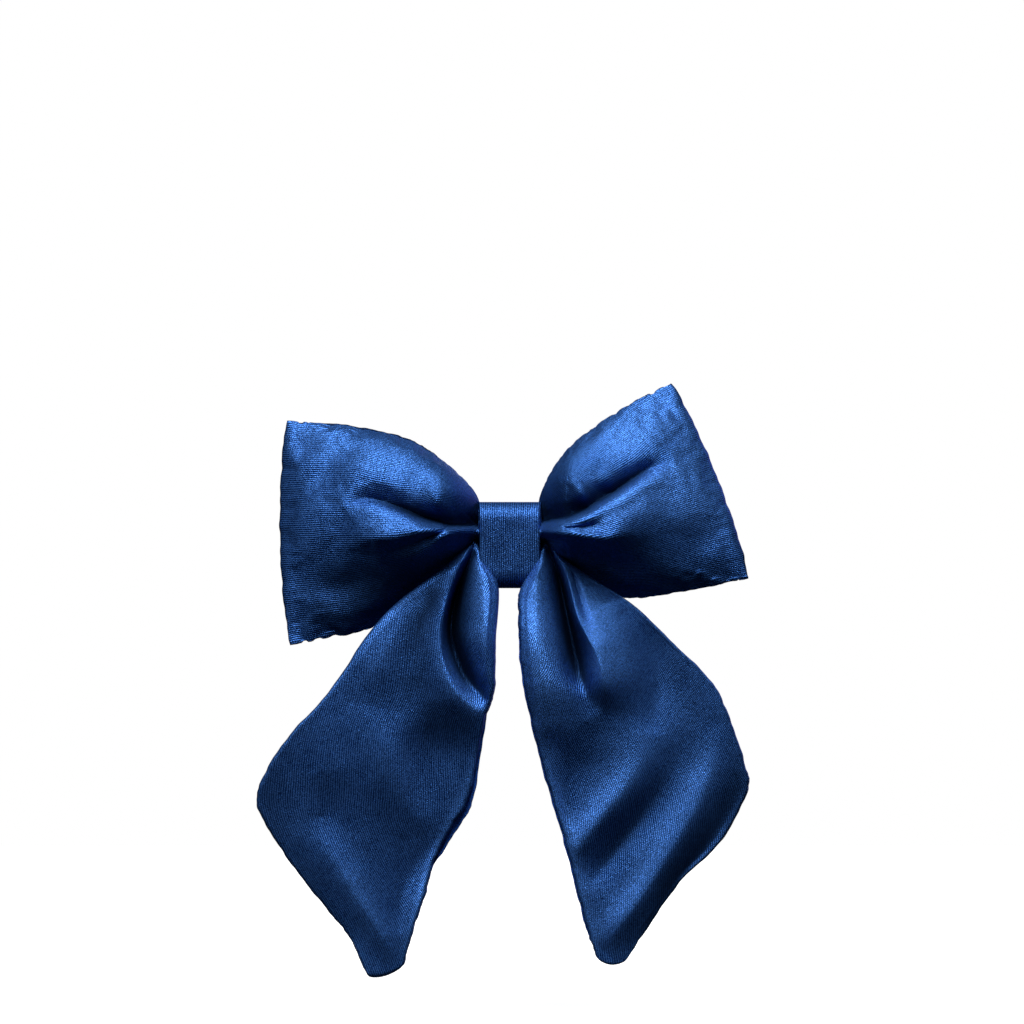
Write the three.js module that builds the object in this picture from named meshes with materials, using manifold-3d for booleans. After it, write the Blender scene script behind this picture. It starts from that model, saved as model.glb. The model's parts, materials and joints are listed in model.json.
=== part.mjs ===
// A stuffed fabric hair bow with two hanging tails, on a metal French barrette.
// Millimetres, +Z up. The bow's front faces -Y and the wearer's head is on the +Y side.
// The origin is the middle of the gap that the closed barrette holds hair in.
import * as THREE from "three";
import { mergeVertices } from "three/addons/utils/BufferGeometryUtils.js";
import Module from "manifold-3d";

const wasm = await Module();
wasm.setup();

// ---------- driving dimensions ----------
const FIT = 0.3; // free space kept between pieces that touch
const CLOTH = 1.2; // thickness of a cloth panel with its pile
const SEAM_Y = -16; // the plane that both loops' seams lie in
const LOOP_FRONT = 26; // how far a loop swells in front of its seam plane
const LOOP_BACK = 10.4; // and behind it, where it lies flat towards the head
const WAIST = 9; // half depth of the gathered waist under the knot
const LOOP_COLUMNS = 13; // facets of a loop's skin, outwards and up
const LOOP_ROWS = 10;

const BEND_Z = -30; // a tail's panels start here, and a lifted tail bends here
const TAIL_HALF = 2.4; // half the thickness of a tail at its middle
const TAIL_COLUMNS = 14;
const TAIL_ROWS = 6;
const GATHER_COLUMNS = 10;
const GATHER_ROWS = 8;

const NECK_Y = -14.8; // middle of the gathered necks under the knot band
const NECK_SIDES = 20;
const NECK_BOUND = 1.5; // how much thinner the thread pulls them
const LOOP_NECK = { z: 6.9, half: 6.2 };
const TAIL_NECK = { z: -7, half: 5.8, reach: 15 };

const BAND_WIDTH = 21; // knot band, along X
const BAND_HALF_HEIGHT = 14.6;
const BAND_FRONT = -26.4;
const BAND_BACK = -2.34;
const BAND_THICK = 0.9;
const BAND_CORNER = 6;

const WIND_FRONT = -24.1; // thread wound round the necks, inside the band
const WIND_BACK = -5.5;
const WIND_HALF_HEIGHT = 13.2;
const WIND_HALF_WIDTH = 1.6;
const WIND_THICK = 0.8;

const BAR_LENGTH = 80; // barrette, end to end
const BASE_WIDTH = 9.2;
const SHEET = 0.8; // steel of the base and the arm
const BASE_REAR = -3.8; // base's rear face at its middle
const BASE_RADIUS = 180; // its arch, concave to the head
const SEAT_START = 32.5; // the base's flat end seats start here
const STITCH_X = 27; // holes that the barrette is sewn on by
const HOLE_RADIUS = 1; // those holes, and the rivet's
const STITCH = 0.6; // thickness of the sewing thread
const STITCH_SLACK = 0.3;
const PIN_X = 37;
const PIN_RADIUS = 0.7;
const BORE_RADIUS = 0.95;
const ARM_WIDTH = 6;
const ARM_FRONT = 4.9; // arm's face towards the hair
const HEAD_TIP = -42; // the arm's windowed head, along X
const HEAD_ROOT = -32;
const HEAD_HALF = 5.4;
const WINDOW_TIP = -39.6; // its window, which the catch stands in
const WINDOW_ROOT = -33.4;
const WINDOW_HALF = 3.9;
const LEAF_WIDTH = 4;
const LEAF_THICK = 0.4;
const LEAF_MIDDLE = 2.7; // the spring leaf bows towards the base
const LEAF_TIP = -38.5; // its free end
const CATCH_X = -36.5;
const CATCH_THICK = 0.5;
const CATCH_HALF = 3.7;
const WING_HEIGHT = 8.4;
const WING_INNER = 2.9; // a wing's two faces, from the arm's middle line
const WING_OUTER = 3.4;
const WING_TIP = -39;
const WING_HEEL = -34;

// ---------- colours ----------
const cloth = { color: 0x17408a, roughness: 0.55, metalness: 0 };
const lining = { color: 0x2338a8, roughness: 0.6, metalness: 0 };
const wadding = { color: 0xf2f0ea, roughness: 1, metalness: 0 };
const steel = { color: 0xb9bcc0, roughness: 0.3, metalness: 1 };
const thread = { color: 0x12306b, roughness: 0.7, metalness: 0 };

const group = new THREE.Group();

function place(name, geometry, look) {
  const mesh = new THREE.Mesh(geometry, new THREE.MeshStandardMaterial(look));
  mesh.name = name;
  group.add(mesh);
  return mesh;
}

// ---------- solids ----------
function toSolid(geometry) {
  const bare = new THREE.BufferGeometry();
  bare.setAttribute("position", geometry.getAttribute("position").clone());
  if (geometry.index) bare.setIndex(geometry.index.clone());
  const merged = mergeVertices(bare, 1e-4);
  return new wasm.Manifold(
    new wasm.Mesh({
      numProp: 3,
      vertProperties: new Float32Array(merged.attributes.position.array),
      triVerts: new Uint32Array(merged.index.array),
    }),
  );
}

function toGeometry(solid) {
  const mesh = solid.getMesh();
  const count = mesh.vertProperties.length / mesh.numProp;
  const points = new Float32Array(count * 3);
  for (let i = 0; i < count; i++)
    for (let k = 0; k < 3; k++)
      points[i * 3 + k] = mesh.vertProperties[i * mesh.numProp + k];
  const geometry = new THREE.BufferGeometry();
  geometry.setAttribute("position", new THREE.BufferAttribute(points, 3));
  geometry.setIndex(new THREE.BufferAttribute(new Uint32Array(mesh.triVerts), 1));
  return geometry;
}

// A closed slab between two surfaces that are functions of (u, v), each from 0 to 1.
function slab(near, far, columns, rows) {
  const points = [];
  for (const surface of [near, far])
    for (let i = 0; i <= columns; i++)
      for (let j = 0; j <= rows; j++)
        points.push(...surface(i / columns, j / rows));
  const side = (columns + 1) * (rows + 1);
  const at = (layer, i, j) => layer * side + i * (rows + 1) + j;
  const faces = [];
  const quad = (a, b, c, d) => faces.push(a, b, c, a, c, d);
  for (let i = 0; i < columns; i++)
    for (let j = 0; j < rows; j++) {
      quad(at(0, i, j), at(0, i + 1, j), at(0, i + 1, j + 1), at(0, i, j + 1));
      quad(at(1, i, j), at(1, i, j + 1), at(1, i + 1, j + 1), at(1, i + 1, j));
    }
  for (let i = 0; i < columns; i++) {
    quad(at(0, i, 0), at(1, i, 0), at(1, i + 1, 0), at(0, i + 1, 0));
    quad(at(0, i, rows), at(0, i + 1, rows), at(1, i + 1, rows), at(1, i, rows));
  }
  for (let j = 0; j < rows; j++) {
    quad(at(0, 0, j), at(0, 0, j + 1), at(1, 0, j + 1), at(1, 0, j));
    quad(at(0, columns, j), at(1, columns, j), at(1, columns, j + 1), at(0, columns, j + 1));
  }
  return facingOut(points, faces);
}

// Turns the faces over if the solid came out inside out.
function facingOut(points, faces) {
  let volume = 0;
  const p = (i) => new THREE.Vector3().fromArray(points, i * 3);
  for (let i = 0; i < faces.length; i += 3)
    volume += p(faces[i]).dot(p(faces[i + 1]).cross(p(faces[i + 2])));
  if (volume < 0)
    for (let i = 0; i < faces.length; i += 3)
      [faces[i + 1], faces[i + 2]] = [faces[i + 2], faces[i + 1]];
  const geometry = new THREE.BufferGeometry();
  geometry.setAttribute("position", new THREE.Float32BufferAttribute(points, 3));
  geometry.setIndex(faces);
  return geometry;
}

// A plate with its outline in the XY plane, from z = low to z = high.
function plateXY(shape, low, high, segments = 10) {
  const geometry = new THREE.ExtrudeGeometry(shape, {
    depth: high - low,
    bevelEnabled: false,
    curveSegments: segments,
  });
  return geometry.translate(0, 0, low);
}

// A plate with its outline in the YZ plane (shape x is Y, shape y is Z), from x = low to x = high.
function plateYZ(shape, low, high, segments = 10) {
  const geometry = plateXY(shape, low, high, segments);
  const turn = new THREE.Matrix4().set(0, 0, 1, 0, 1, 0, 0, 0, 0, 1, 0, 0, 0, 0, 0, 1);
  return geometry.applyMatrix4(turn);
}

// A plate with its outline in the XZ plane (shape x is X, shape y is Z), from y = low to y = high.
function plateXZ(shape, low, high, segments = 10) {
  return plateXY(shape, 0, high - low, segments)
    .rotateX(Math.PI / 2)
    .translate(0, high, 0);
}

function pinAlongZ(x, y, radius, low, high, sides = 16) {
  return new THREE.CylinderGeometry(radius, radius, high - low, sides)
    .rotateX(Math.PI / 2)
    .translate(x, y, (low + high) / 2);
}

function roundedBox(shape, low, high, corner) {
  const [x0, y0] = low;
  const [x1, y1] = high;
  shape.moveTo(x0 + corner, y0);
  shape.lineTo(x1 - corner, y0);
  shape.absarc(x1 - corner, y0 + corner, corner, -Math.PI / 2, 0);
  shape.lineTo(x1, y1 - corner);
  shape.absarc(x1 - corner, y1 - corner, corner, 0, Math.PI / 2);
  shape.lineTo(x0 + corner, y1);
  shape.absarc(x0 + corner, y1 - corner, corner, Math.PI / 2, Math.PI);
  shape.lineTo(x0, y0 + corner);
  shape.absarc(x0 + corner, y0 + corner, corner, Math.PI, Math.PI * 1.5);
  return shape;
}

function rectangle(x0, y0, x1, y1) {
  return [[x0, y0], [x1, y0], [x1, y1], [x0, y1]].map(([x, y]) => new THREE.Vector2(x, y));
}

function curve(points) {
  return new THREE.SplineCurve(points.map(([x, z]) => new THREE.Vector2(x, z)));
}

const mix = (a, b, w) => a + (b - a) * w;
const ease = (x, from, to) => THREE.MathUtils.smoothstep(x, from, to);

// ---------- loops ----------
// Each loop is a stuffed pocket. top and bottom run from the knot to the outer corners,
// and outer joins those corners. u runs outwards from the knot, v from bottom to top.
const LOOPS = {
  left: {
    side: -1,
    top: curve([[-10.5, 13.2], [-20.4, 25.5], [-37.4, 35.7], [-56, 39.6], [-75.8, 41.5]]),
    bottom: curve([
      [-10.5, 0.2], [-16, -0.3], [-24, -8.5], [-37.4, -20.5], [-50, -28.5], [-74.8, -33.3],
    ]),
    bow: 2.6,
  },
  right: {
    side: 1,
    top: curve([[10.5, 13.2], [14.4, 24], [23.8, 35.7], [37.4, 45.2], [54.7, 54.7]]),
    bottom: curve([[10.5, 0.2], [16, -0.3], [24, -7.5], [38, -17], [60, -14.4], [80.9, -10.9]]),
    bow: 2.4,
  },
};

// Point of the loop's seam plane as [x, z]; the outer edge bows outwards a little.
function seamPoint(loop, u, v) {
  const low = loop.bottom.getPoint(u);
  const high = loop.top.getPoint(u);
  const along = new THREE.Vector2().subVectors(high, low).normalize();
  const swell = loop.bow * 4 * v * (1 - v) * ease(u, 0.3, 1);
  const outwards = new THREE.Vector2(along.y, -along.x);
  outwards.multiplyScalar(loop.side * Math.sign(along.y) * swell);
  return [mix(low.x, high.x, v) + outwards.x, mix(low.y, high.y, v) + outwards.y];
}

// Falls from 1 at x = 0 to nothing at x = 1, full at first and steep at the end.
const rounded = (x, fullness) => Math.pow(Math.max(0, 1 - Math.pow(x, fullness)), 0.75);

// How far the loop's skin stands off the seam plane: round over the middle, flat at the seams.
// The front is pressed flatter low down near the knot, where the tails lie over it.
function stuffing(u, v, most) {
  const fullest = 0.42; // of the way outwards
  const across = rounded(Math.abs(2 * v - 1), 2.3);
  const grown = mix(WAIST, most, ease(u, 0, fullest));
  const outer = u < fullest ? 1 : rounded((u - fullest) / (1 - fullest), 2.2);
  const pressed = 1 - 0.5 * (1 - ease(v, 0.08, 0.5)) * (1 - ease(u, 0.45, 0.8)) * ease(u, 0, 0.1);
  return across * grown * outer * (most > LOOP_BACK ? pressed : 1);
}

function loopSkin(loop, facing, depth, inset) {
  const most = facing < 0 ? LOOP_FRONT : LOOP_BACK;
  return (u, v) => {
    const [x, z] = seamPoint(loop, u, v);
    const swell = Math.max(0, stuffing(u, v, most) - inset);
    return [x, SEAM_Y + facing * (FIT / 2 + depth + swell), z];
  };
}

for (const [name, loop] of Object.entries(LOOPS)) {
  for (const [label, facing] of [["front", -1], ["back", 1]]) {
    const outside = loopSkin(loop, facing, CLOTH, CLOTH);
    const liningSide = loopSkin(loop, facing, 0, CLOTH);
    const panel = slab(outside, liningSide, LOOP_COLUMNS, LOOP_ROWS);
    place(`${name}_loop_${label}_panel`, panel, cloth);
  }
  const inside = (facing) => (u, v) =>
    loopSkin(loop, facing, -FIT / 2, CLOTH + FIT)(
      mix(1 / LOOP_COLUMNS, 1 - 1 / LOOP_COLUMNS, u),
      mix(1 / LOOP_ROWS, 1 - 1 / LOOP_ROWS, v),
    );
  const filling = slab(inside(-1), inside(1), LOOP_COLUMNS - 2, LOOP_ROWS - 2);
  place(`${name}_loop_filling`, filling, wadding);
}

// The gathered neck of each loop runs on under the knot band, thinner where the thread binds it.
function neck(side, centreZ, halfHeight, reach) {
  const section = (x, shrink) => {
    const ring = [];
    for (let k = 0; k < NECK_SIDES; k++) {
      const a = (k / NECK_SIDES) * Math.PI * 2;
      const y = NECK_Y + (WAIST - shrink) * Math.cos(a);
      const z = centreZ + (halfHeight - shrink) * Math.sin(a);
      ring.push([side * x, y, z]);
    }
    return ring;
  };
  return loft([
    section(0.2, NECK_BOUND),
    section(2, NECK_BOUND),
    section(3.4, 0),
    section(reach, 0),
  ]);
}

// A solid through rings of points, closed at both ends.
function loft(rings) {
  const size = rings[0].length;
  const points = rings.flat(2);
  const faces = [];
  for (let r = 0; r + 1 < rings.length; r++)
    for (let k = 0; k < size; k++) {
      const a = r * size + k;
      const b = r * size + ((k + 1) % size);
      faces.push(a, b, b + size, a, b + size, a + size);
    }
  for (const [start, flip] of [[0, 1], [(rings.length - 1) * size, 0]])
    for (let k = 1; k + 1 < size; k++)
      faces.push(start, start + (flip ? k + 1 : k), start + (flip ? k : k + 1));
  return facingOut(points, faces);
}

for (const [name, loop] of Object.entries(LOOPS)) {
  const held = neck(loop.side, LOOP_NECK.z, LOOP_NECK.half, BAND_WIDTH / 2 - FIT);
  place(`${name}_loop_neck`, held, cloth);
}

// ---------- tails ----------
// inner and outer are a tail's two long edges, from the knot to the bend and on to the tip.
const TAILS = {
  left: {
    side: -1,
    innerTop: curve([[-9.4, -3], [-7.6, -7], [-4, -14.5], [-3.6, -22], [-4.6, BEND_Z]]),
    outerTop: curve([[-14, -2], [-23.8, -8.5], [-37.4, -18.7], [-49.5, BEND_Z]]),
    inner: curve([
      [-4.6, BEND_Z], [-6.2, -50], [-10.9, -74.5], [-20, -97], [-28.6, -119.3], [-36, -141],
    ]),
    outer: curve([
      [-49.5, BEND_Z], [-76.5, -62.2], [-85.6, -86.5], [-65.3, -119.3], [-49.5, -145.5],
    ]),
  },
  right: {
    side: 1,
    innerTop: curve([[9.4, -3], [7.6, -7], [4, -14.5], [2.9, -22], [3.4, BEND_Z]]),
    outerTop: curve([[14, -2], [23.8, -7.8], [34, -15.3], [51, BEND_Z]]),
    inner: curve([[3.4, BEND_Z], [4.4, -50], [12.9, -82.6], [20.8, -112], [29.5, -140.5]]),
    outer: curve([[51, BEND_Z], [74.8, -62.2], [80.3, -83], [59.5, -115.3], [38.5, -140.5]]),
  },
};

function acrossTail(inner, outer, u, v) {
  const a = inner.getPoint(u);
  const b = outer.getPoint(u);
  return [mix(a.x, b.x, v), mix(a.y, b.y, v)];
}

const FOREMOST = -31; // no gather swells further forward than this

// The upper part of a tail stands in front of the loops, and of the band's lower corners.
function gatherSurface(tail, front) {
  return (u, v) => {
    const [x, z] = acrossTail(tail.innerTop, tail.outerTop, u, v);
    const beforeBand = (1 - ease(Math.abs(x), 11, 12.6)) * (1 - ease(-z, 17, 27));
    const back = mix(-23.6, -20.2, ease(-z, 19, -BEND_Z)) - 3.2 * beforeBand;
    const thick = mix(6.4, 4.8, ease(-z, 10, -BEND_Z)) - 2 * Math.pow(Math.abs(2 * v - 1), 4);
    return [x, front ? Math.max(back - thick, FOREMOST) : back, z];
  };
}

// A hanging panel drops back as it falls, and thins towards its edges and its tip.
function bladeSurface(tail, facing, outerFace) {
  return (u, v) => {
    const [x, z] = acrossTail(tail.inner, tail.outer, u, v);
    const middle = mix(-22.4, -18, ease(-z, -BEND_Z, 95));
    const half = TAIL_HALF - 1.5 * Math.pow(Math.abs(2 * v - 1), 3) * ease(u, 0, 0.2) - 0.6 * u;
    const drop = u < 1e-6 ? FIT : 0;
    return [x, middle + facing * (outerFace ? half : FIT / 2), z - drop];
  };
}

for (const [name, tail] of Object.entries(TAILS)) {
  const foldFront = gatherSurface(tail, true);
  const foldBack = gatherSurface(tail, false);
  const fan = toSolid(slab(foldFront, foldBack, GATHER_COLUMNS, GATHER_ROWS));
  const held = toSolid(neck(tail.side, TAIL_NECK.z, TAIL_NECK.half, TAIL_NECK.reach));
  place(`${name}_tail_gather`, toGeometry(fan.add(held)), cloth);

  const blade = (facing, ...outerFaces) => {
    const [near, far] = outerFaces.map((outerFace) => bladeSurface(tail, facing, outerFace));
    return slab(near, far, TAIL_COLUMNS, TAIL_ROWS);
  };
  place(`${name}_tail_front_panel`, blade(-1, true, false), cloth);
  place(`${name}_tail_back_panel`, blade(1, false, true), lining);
}

// ---------- knot ----------
const bandRing = roundedBox(
  new THREE.Shape(),
  [BAND_FRONT, -BAND_HALF_HEIGHT],
  [BAND_BACK, BAND_HALF_HEIGHT],
  BAND_CORNER,
);
bandRing.holes.push(
  roundedBox(
    new THREE.Path(),
    [BAND_FRONT + BAND_THICK, -BAND_HALF_HEIGHT + BAND_THICK],
    [BAND_BACK - BAND_THICK, BAND_HALF_HEIGHT - BAND_THICK],
    BAND_CORNER - BAND_THICK,
  ),
);
place("knot_band", plateYZ(bandRing, -BAND_WIDTH / 2, BAND_WIDTH / 2, 4), cloth);

// Thread wound round all the necks, between them and the band.
const woundRing = roundedBox(
  new THREE.Shape(),
  [WIND_FRONT, -WIND_HALF_HEIGHT],
  [WIND_BACK, WIND_HALF_HEIGHT],
  BAND_CORNER,
);
woundRing.holes.push(
  roundedBox(
    new THREE.Path(),
    [WIND_FRONT + WIND_THICK, -WIND_HALF_HEIGHT + WIND_THICK],
    [WIND_BACK - WIND_THICK, WIND_HALF_HEIGHT - WIND_THICK],
    BAND_CORNER - WIND_THICK,
  ),
);
place("binding_thread", plateYZ(woundRing, -WIND_HALF_WIDTH, WIND_HALF_WIDTH, 3), thread);

// ---------- barrette ----------
const ARCH_END = SEAT_START - 1.5; // beyond this the base is flat
const archY = (x) => Math.pow(Math.min(Math.abs(x), ARCH_END), 2) / (2 * BASE_RADIUS);
const SEAT_RISE = archY(SEAT_START);
const SEAT_REAR = BASE_REAR + SEAT_RISE; // rear face of the flat end seats
const PIN_Y = SEAT_REAR + 4.6;

function circlePath(x, y, radius) {
  const path = new THREE.Path();
  path.absarc(x, y, radius, 0, Math.PI * 2, true);
  return path;
}

function baseStrip() {
  const steps = 24;
  const half = BAR_LENGTH / 2;
  const xs = Array.from({ length: steps + 1 }, (_, i) => mix(-half, half, i / steps));
  const shape = new THREE.Shape();
  shape.moveTo(xs[0], BASE_REAR + archY(xs[0]));
  for (const x of xs.slice(1)) shape.lineTo(x, BASE_REAR + archY(x));
  for (const x of xs.toReversed()) shape.lineTo(x, BASE_REAR - SHEET + archY(x));
  return toSolid(plateXY(shape, -BASE_WIDTH / 2, BASE_WIDTH / 2));
}

// A round-ended lug that stands on a plate and carries the hinge pin.
function lug(footY, footFrom, footTo, low, high, outer) {
  const shape = new THREE.Shape();
  const down = footY < PIN_Y;
  shape.moveTo(footFrom, footY);
  shape.lineTo(PIN_X - outer, PIN_Y);
  shape.absarc(PIN_X, PIN_Y, outer, Math.PI, 0, down);
  shape.lineTo(footTo, footY);
  shape.closePath();
  return toSolid(plateXY(shape, low, high, 8));
}

const bore = (low, high) => toSolid(pinAlongZ(PIN_X, PIN_Y, BORE_RADIUS, low, high));

// Cuts a strip's free end, the one towards -X, to a round outline.
function roundEnd(strip, end, halfWidth, corner) {
  const plan = roundedBox(new THREE.Shape(), [end, -halfWidth], [BAR_LENGTH, halfWidth], corner);
  return strip.intersect(toSolid(plateXZ(plan, -BAR_LENGTH, BAR_LENGTH, 6)));
}

let base = roundEnd(baseStrip(), -BAR_LENGTH / 2, BASE_WIDTH / 2, 4);
for (const side of [-1, 1]) {
  const low = side > 0 ? BASE_WIDTH / 2 - SHEET : -BASE_WIDTH / 2;
  base = base.add(lug(SEAT_REAR - 0.2, PIN_X - 2.6, PIN_X + 2.6, low, low + SHEET, 1.9));
}
base = base.subtract(bore(-6, 6));
for (const x of [-STITCH_X, STITCH_X, CATCH_X]) {
  const drill = new THREE.CylinderGeometry(HOLE_RADIUS, HOLE_RADIUS, 8, 16);
  base = base.subtract(toSolid(drill.translate(x, -2, 0)));
}
place("barrette_base", toGeometry(base), steel);

// Hinge pin, peened over outside the base's lugs.
const PIN_HALF = BASE_WIDTH / 2 + 0.65;
const PEEN_FROM = BASE_WIDTH / 2 + 0.15;
const PEEN_RADIUS = 1.25;
const pinProfile = [
  [0, -PIN_HALF],
  [PEEN_RADIUS - 0.2, -PIN_HALF],
  [PEEN_RADIUS, -PEEN_FROM],
  [PIN_RADIUS, -PEEN_FROM],
  [PIN_RADIUS, PEEN_FROM],
  [PEEN_RADIUS, PEEN_FROM],
  [PEEN_RADIUS - 0.2, PIN_HALF],
  [0, PIN_HALF],
].map(([r, y]) => new THREE.Vector2(r, y));
place(
  "hinge_pin",
  new THREE.LatheGeometry(pinProfile, 16).rotateX(Math.PI / 2).translate(PIN_X, PIN_Y, 0),
  steel,
);

// Closing arm: a flat strip with a windowed head that snaps over the catch wings.
const ARM_HALF = ARM_WIDTH / 2;
const ARM_ROOT = PIN_X - 0.4;
const SHOULDER = HEAD_ROOT + 4; // the head starts to widen here
const HEAD_CORNER = 2;
const armShape = new THREE.Shape();
armShape.moveTo(ARM_ROOT, ARM_HALF);
armShape.lineTo(SHOULDER, ARM_HALF);
armShape.quadraticCurveTo(HEAD_ROOT + 1, ARM_HALF, HEAD_ROOT, HEAD_HALF);
armShape.lineTo(HEAD_TIP + HEAD_CORNER, HEAD_HALF);
armShape.quadraticCurveTo(HEAD_TIP, HEAD_HALF, HEAD_TIP, HEAD_HALF - HEAD_CORNER);
armShape.lineTo(HEAD_TIP, -HEAD_HALF + HEAD_CORNER);
armShape.quadraticCurveTo(HEAD_TIP, -HEAD_HALF, HEAD_TIP + HEAD_CORNER, -HEAD_HALF);
armShape.lineTo(HEAD_ROOT, -HEAD_HALF);
armShape.quadraticCurveTo(HEAD_ROOT + 1, -ARM_HALF, SHOULDER, -ARM_HALF);
armShape.lineTo(ARM_ROOT, -ARM_HALF);
armShape.closePath();
armShape.holes.push(
  roundedBox(new THREE.Path(), [WINDOW_TIP, -WINDOW_HALF], [WINDOW_ROOT, WINDOW_HALF], 0.5),
);
let arm = toSolid(plateXZ(armShape, ARM_FRONT, ARM_FRONT + SHEET, 6));
for (const low of [-ARM_HALF, ARM_HALF - SHEET])
  arm = arm.add(lug(ARM_FRONT + 0.2, PIN_X - 2.4, ARM_ROOT, low, low + SHEET, 1.5));
arm = arm.subtract(bore(-6, 6));
place("clasp_arm", toGeometry(arm), steel);

// Spring leaf, curled round the same pin, its free end between the catch wings.
const leafY = (x) => LEAF_MIDDLE + (PIN_Y - LEAF_MIDDLE) * Math.pow(x / PIN_X, 2);
const leafShape = new THREE.Shape();
const leafXs = Array.from({ length: 19 }, (_, i) => mix(LEAF_TIP, PIN_X - 0.6, i / 18));
leafShape.moveTo(leafXs[0], leafY(leafXs[0]) + LEAF_THICK / 2);
for (const x of leafXs.slice(1)) leafShape.lineTo(x, leafY(x) + LEAF_THICK / 2);
for (const x of leafXs.toReversed()) leafShape.lineTo(x, leafY(x) - LEAF_THICK / 2);
const curl = new THREE.Shape();
curl.absarc(PIN_X, PIN_Y, BORE_RADIUS + 0.35, 0, Math.PI * 2, false);
const leafStrip = toSolid(plateXY(leafShape, -LEAF_WIDTH / 2, LEAF_WIDTH / 2));
const leafSolid = roundEnd(leafStrip, leafXs[0], LEAF_WIDTH / 2, 1.8)
  .add(toSolid(plateXY(curl, -1.85, 1.85, 12)))
  .subtract(bore(-6, 6));
place("tension_leaf", toGeometry(leafSolid), steel);

// Catch: a spring plate riveted to the base, with two wings that are pinched to open the clasp.
const CATCH_Y = SEAT_REAR + 0.12;
const CATCH_TOP = CATCH_Y + CATCH_THICK;
const catchPlate = roundedBox(
  new THREE.Shape(),
  [WINDOW_TIP, -CATCH_HALF],
  [WINDOW_ROOT, CATCH_HALF],
  0.6,
);
catchPlate.holes.push(circlePath(CATCH_X, 0, HOLE_RADIUS));
place("catch_plate", plateXZ(catchPlate, CATCH_Y, CATCH_TOP, 6), steel);

const RIVET_HEAD = 1.5;
const RIVET_SHANK = 0.7;
const RIVET_FRONT = SEAT_REAR - SHEET - 0.15; // the undersides of its two heads
const RIVET_REAR = CATCH_TOP + 0.15;
const rivetProfile = [
  [0, RIVET_FRONT - 0.4],
  [RIVET_HEAD - 0.3, RIVET_FRONT - 0.3],
  [RIVET_HEAD, RIVET_FRONT],
  [RIVET_SHANK, RIVET_FRONT],
  [RIVET_SHANK, RIVET_REAR],
  [RIVET_HEAD, RIVET_REAR],
  [RIVET_HEAD - 0.3, RIVET_REAR + 0.35],
  [0, RIVET_REAR + 0.45],
].map(([r, y]) => new THREE.Vector2(r, y));
place("catch_rivet", new THREE.LatheGeometry(rivetProfile, 16).translate(CATCH_X, 0, 0), steel);

const WING_ROOT = CATCH_TOP + FIT;
const BARB = ARM_FRONT + SHEET + 0.2; // the barb starts just behind the arm's rim
for (const [name, side] of [["upper", 1], ["lower", -1]]) {
  // Section in the YZ plane: a straight leg, a barb over the arm's rim, and a turned-out thumb tip.
  const outline = [
    [WING_ROOT, WING_INNER],
    [WING_HEIGHT - 0.3, WING_INNER],
    [WING_HEIGHT, WING_OUTER],
    [WING_HEIGHT - 1.3, WING_OUTER + 0.25],
    [BARB + 0.7, WING_OUTER],
    [BARB + 0.15, WING_OUTER + 0.35],
    [BARB, WING_OUTER],
    [WING_ROOT, WING_OUTER],
  ].map(([y, z]) => new THREE.Vector2(y, side * z));
  if (side < 0) outline.reverse();
  place(`${name}_catch_wing`, plateYZ(new THREE.Shape(outline), WING_TIP, WING_HEEL), steel);
}

// Hand stitches: turns of thread through the base's holes and round its edges.
for (const [name, x] of [["left", -STITCH_X], ["right", STITCH_X]])
  for (const [label, side] of [["upper", 1], ["lower", -1]]) {
    const rear = BASE_REAR + archY(x) + STITCH_SLACK;
    const front = BASE_REAR - SHEET + archY(x) - STITCH_SLACK;
    const ends = [side * 0.75, side * (BASE_WIDTH / 2 + STITCH_SLACK)];
    const low = Math.min(...ends);
    const high = Math.max(...ends);
    const turn = new THREE.Shape(
      rectangle(front - STITCH, low - STITCH, rear + STITCH, high + STITCH),
    );
    turn.holes.push(new THREE.Path(rectangle(front, low, rear, high)));
    place(`${name}_${label}_stitch`, plateYZ(turn, x - STITCH / 2, x + STITCH / 2), thread);
  }

export default group;
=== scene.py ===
# A stuffed velvet hair bow on a French barrette, in metres: the front faces -Y and +Z is up.
import json
import math

import bpy
import numpy as np
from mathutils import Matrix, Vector

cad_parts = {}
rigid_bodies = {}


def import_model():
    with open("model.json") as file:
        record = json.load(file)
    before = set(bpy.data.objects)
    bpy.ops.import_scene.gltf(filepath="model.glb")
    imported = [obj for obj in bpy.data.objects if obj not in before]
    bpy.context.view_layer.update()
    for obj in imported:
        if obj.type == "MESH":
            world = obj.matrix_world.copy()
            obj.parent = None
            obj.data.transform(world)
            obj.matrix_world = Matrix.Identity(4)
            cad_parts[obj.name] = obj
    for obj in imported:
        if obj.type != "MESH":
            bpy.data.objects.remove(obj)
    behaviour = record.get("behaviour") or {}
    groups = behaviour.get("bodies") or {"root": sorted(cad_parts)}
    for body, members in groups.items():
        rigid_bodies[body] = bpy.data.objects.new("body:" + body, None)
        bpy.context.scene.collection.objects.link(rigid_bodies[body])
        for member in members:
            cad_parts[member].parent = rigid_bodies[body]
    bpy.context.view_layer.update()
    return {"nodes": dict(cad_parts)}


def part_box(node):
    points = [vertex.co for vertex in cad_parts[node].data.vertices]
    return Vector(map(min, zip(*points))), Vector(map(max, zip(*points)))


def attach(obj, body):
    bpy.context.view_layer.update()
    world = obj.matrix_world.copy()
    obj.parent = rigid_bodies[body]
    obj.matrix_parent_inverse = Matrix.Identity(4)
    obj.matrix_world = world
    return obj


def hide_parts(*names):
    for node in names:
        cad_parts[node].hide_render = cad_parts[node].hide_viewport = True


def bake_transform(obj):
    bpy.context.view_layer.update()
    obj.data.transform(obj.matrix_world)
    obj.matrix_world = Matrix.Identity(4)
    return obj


for left_over in list(bpy.data.objects):
    bpy.data.objects.remove(left_over)
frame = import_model()

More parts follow.
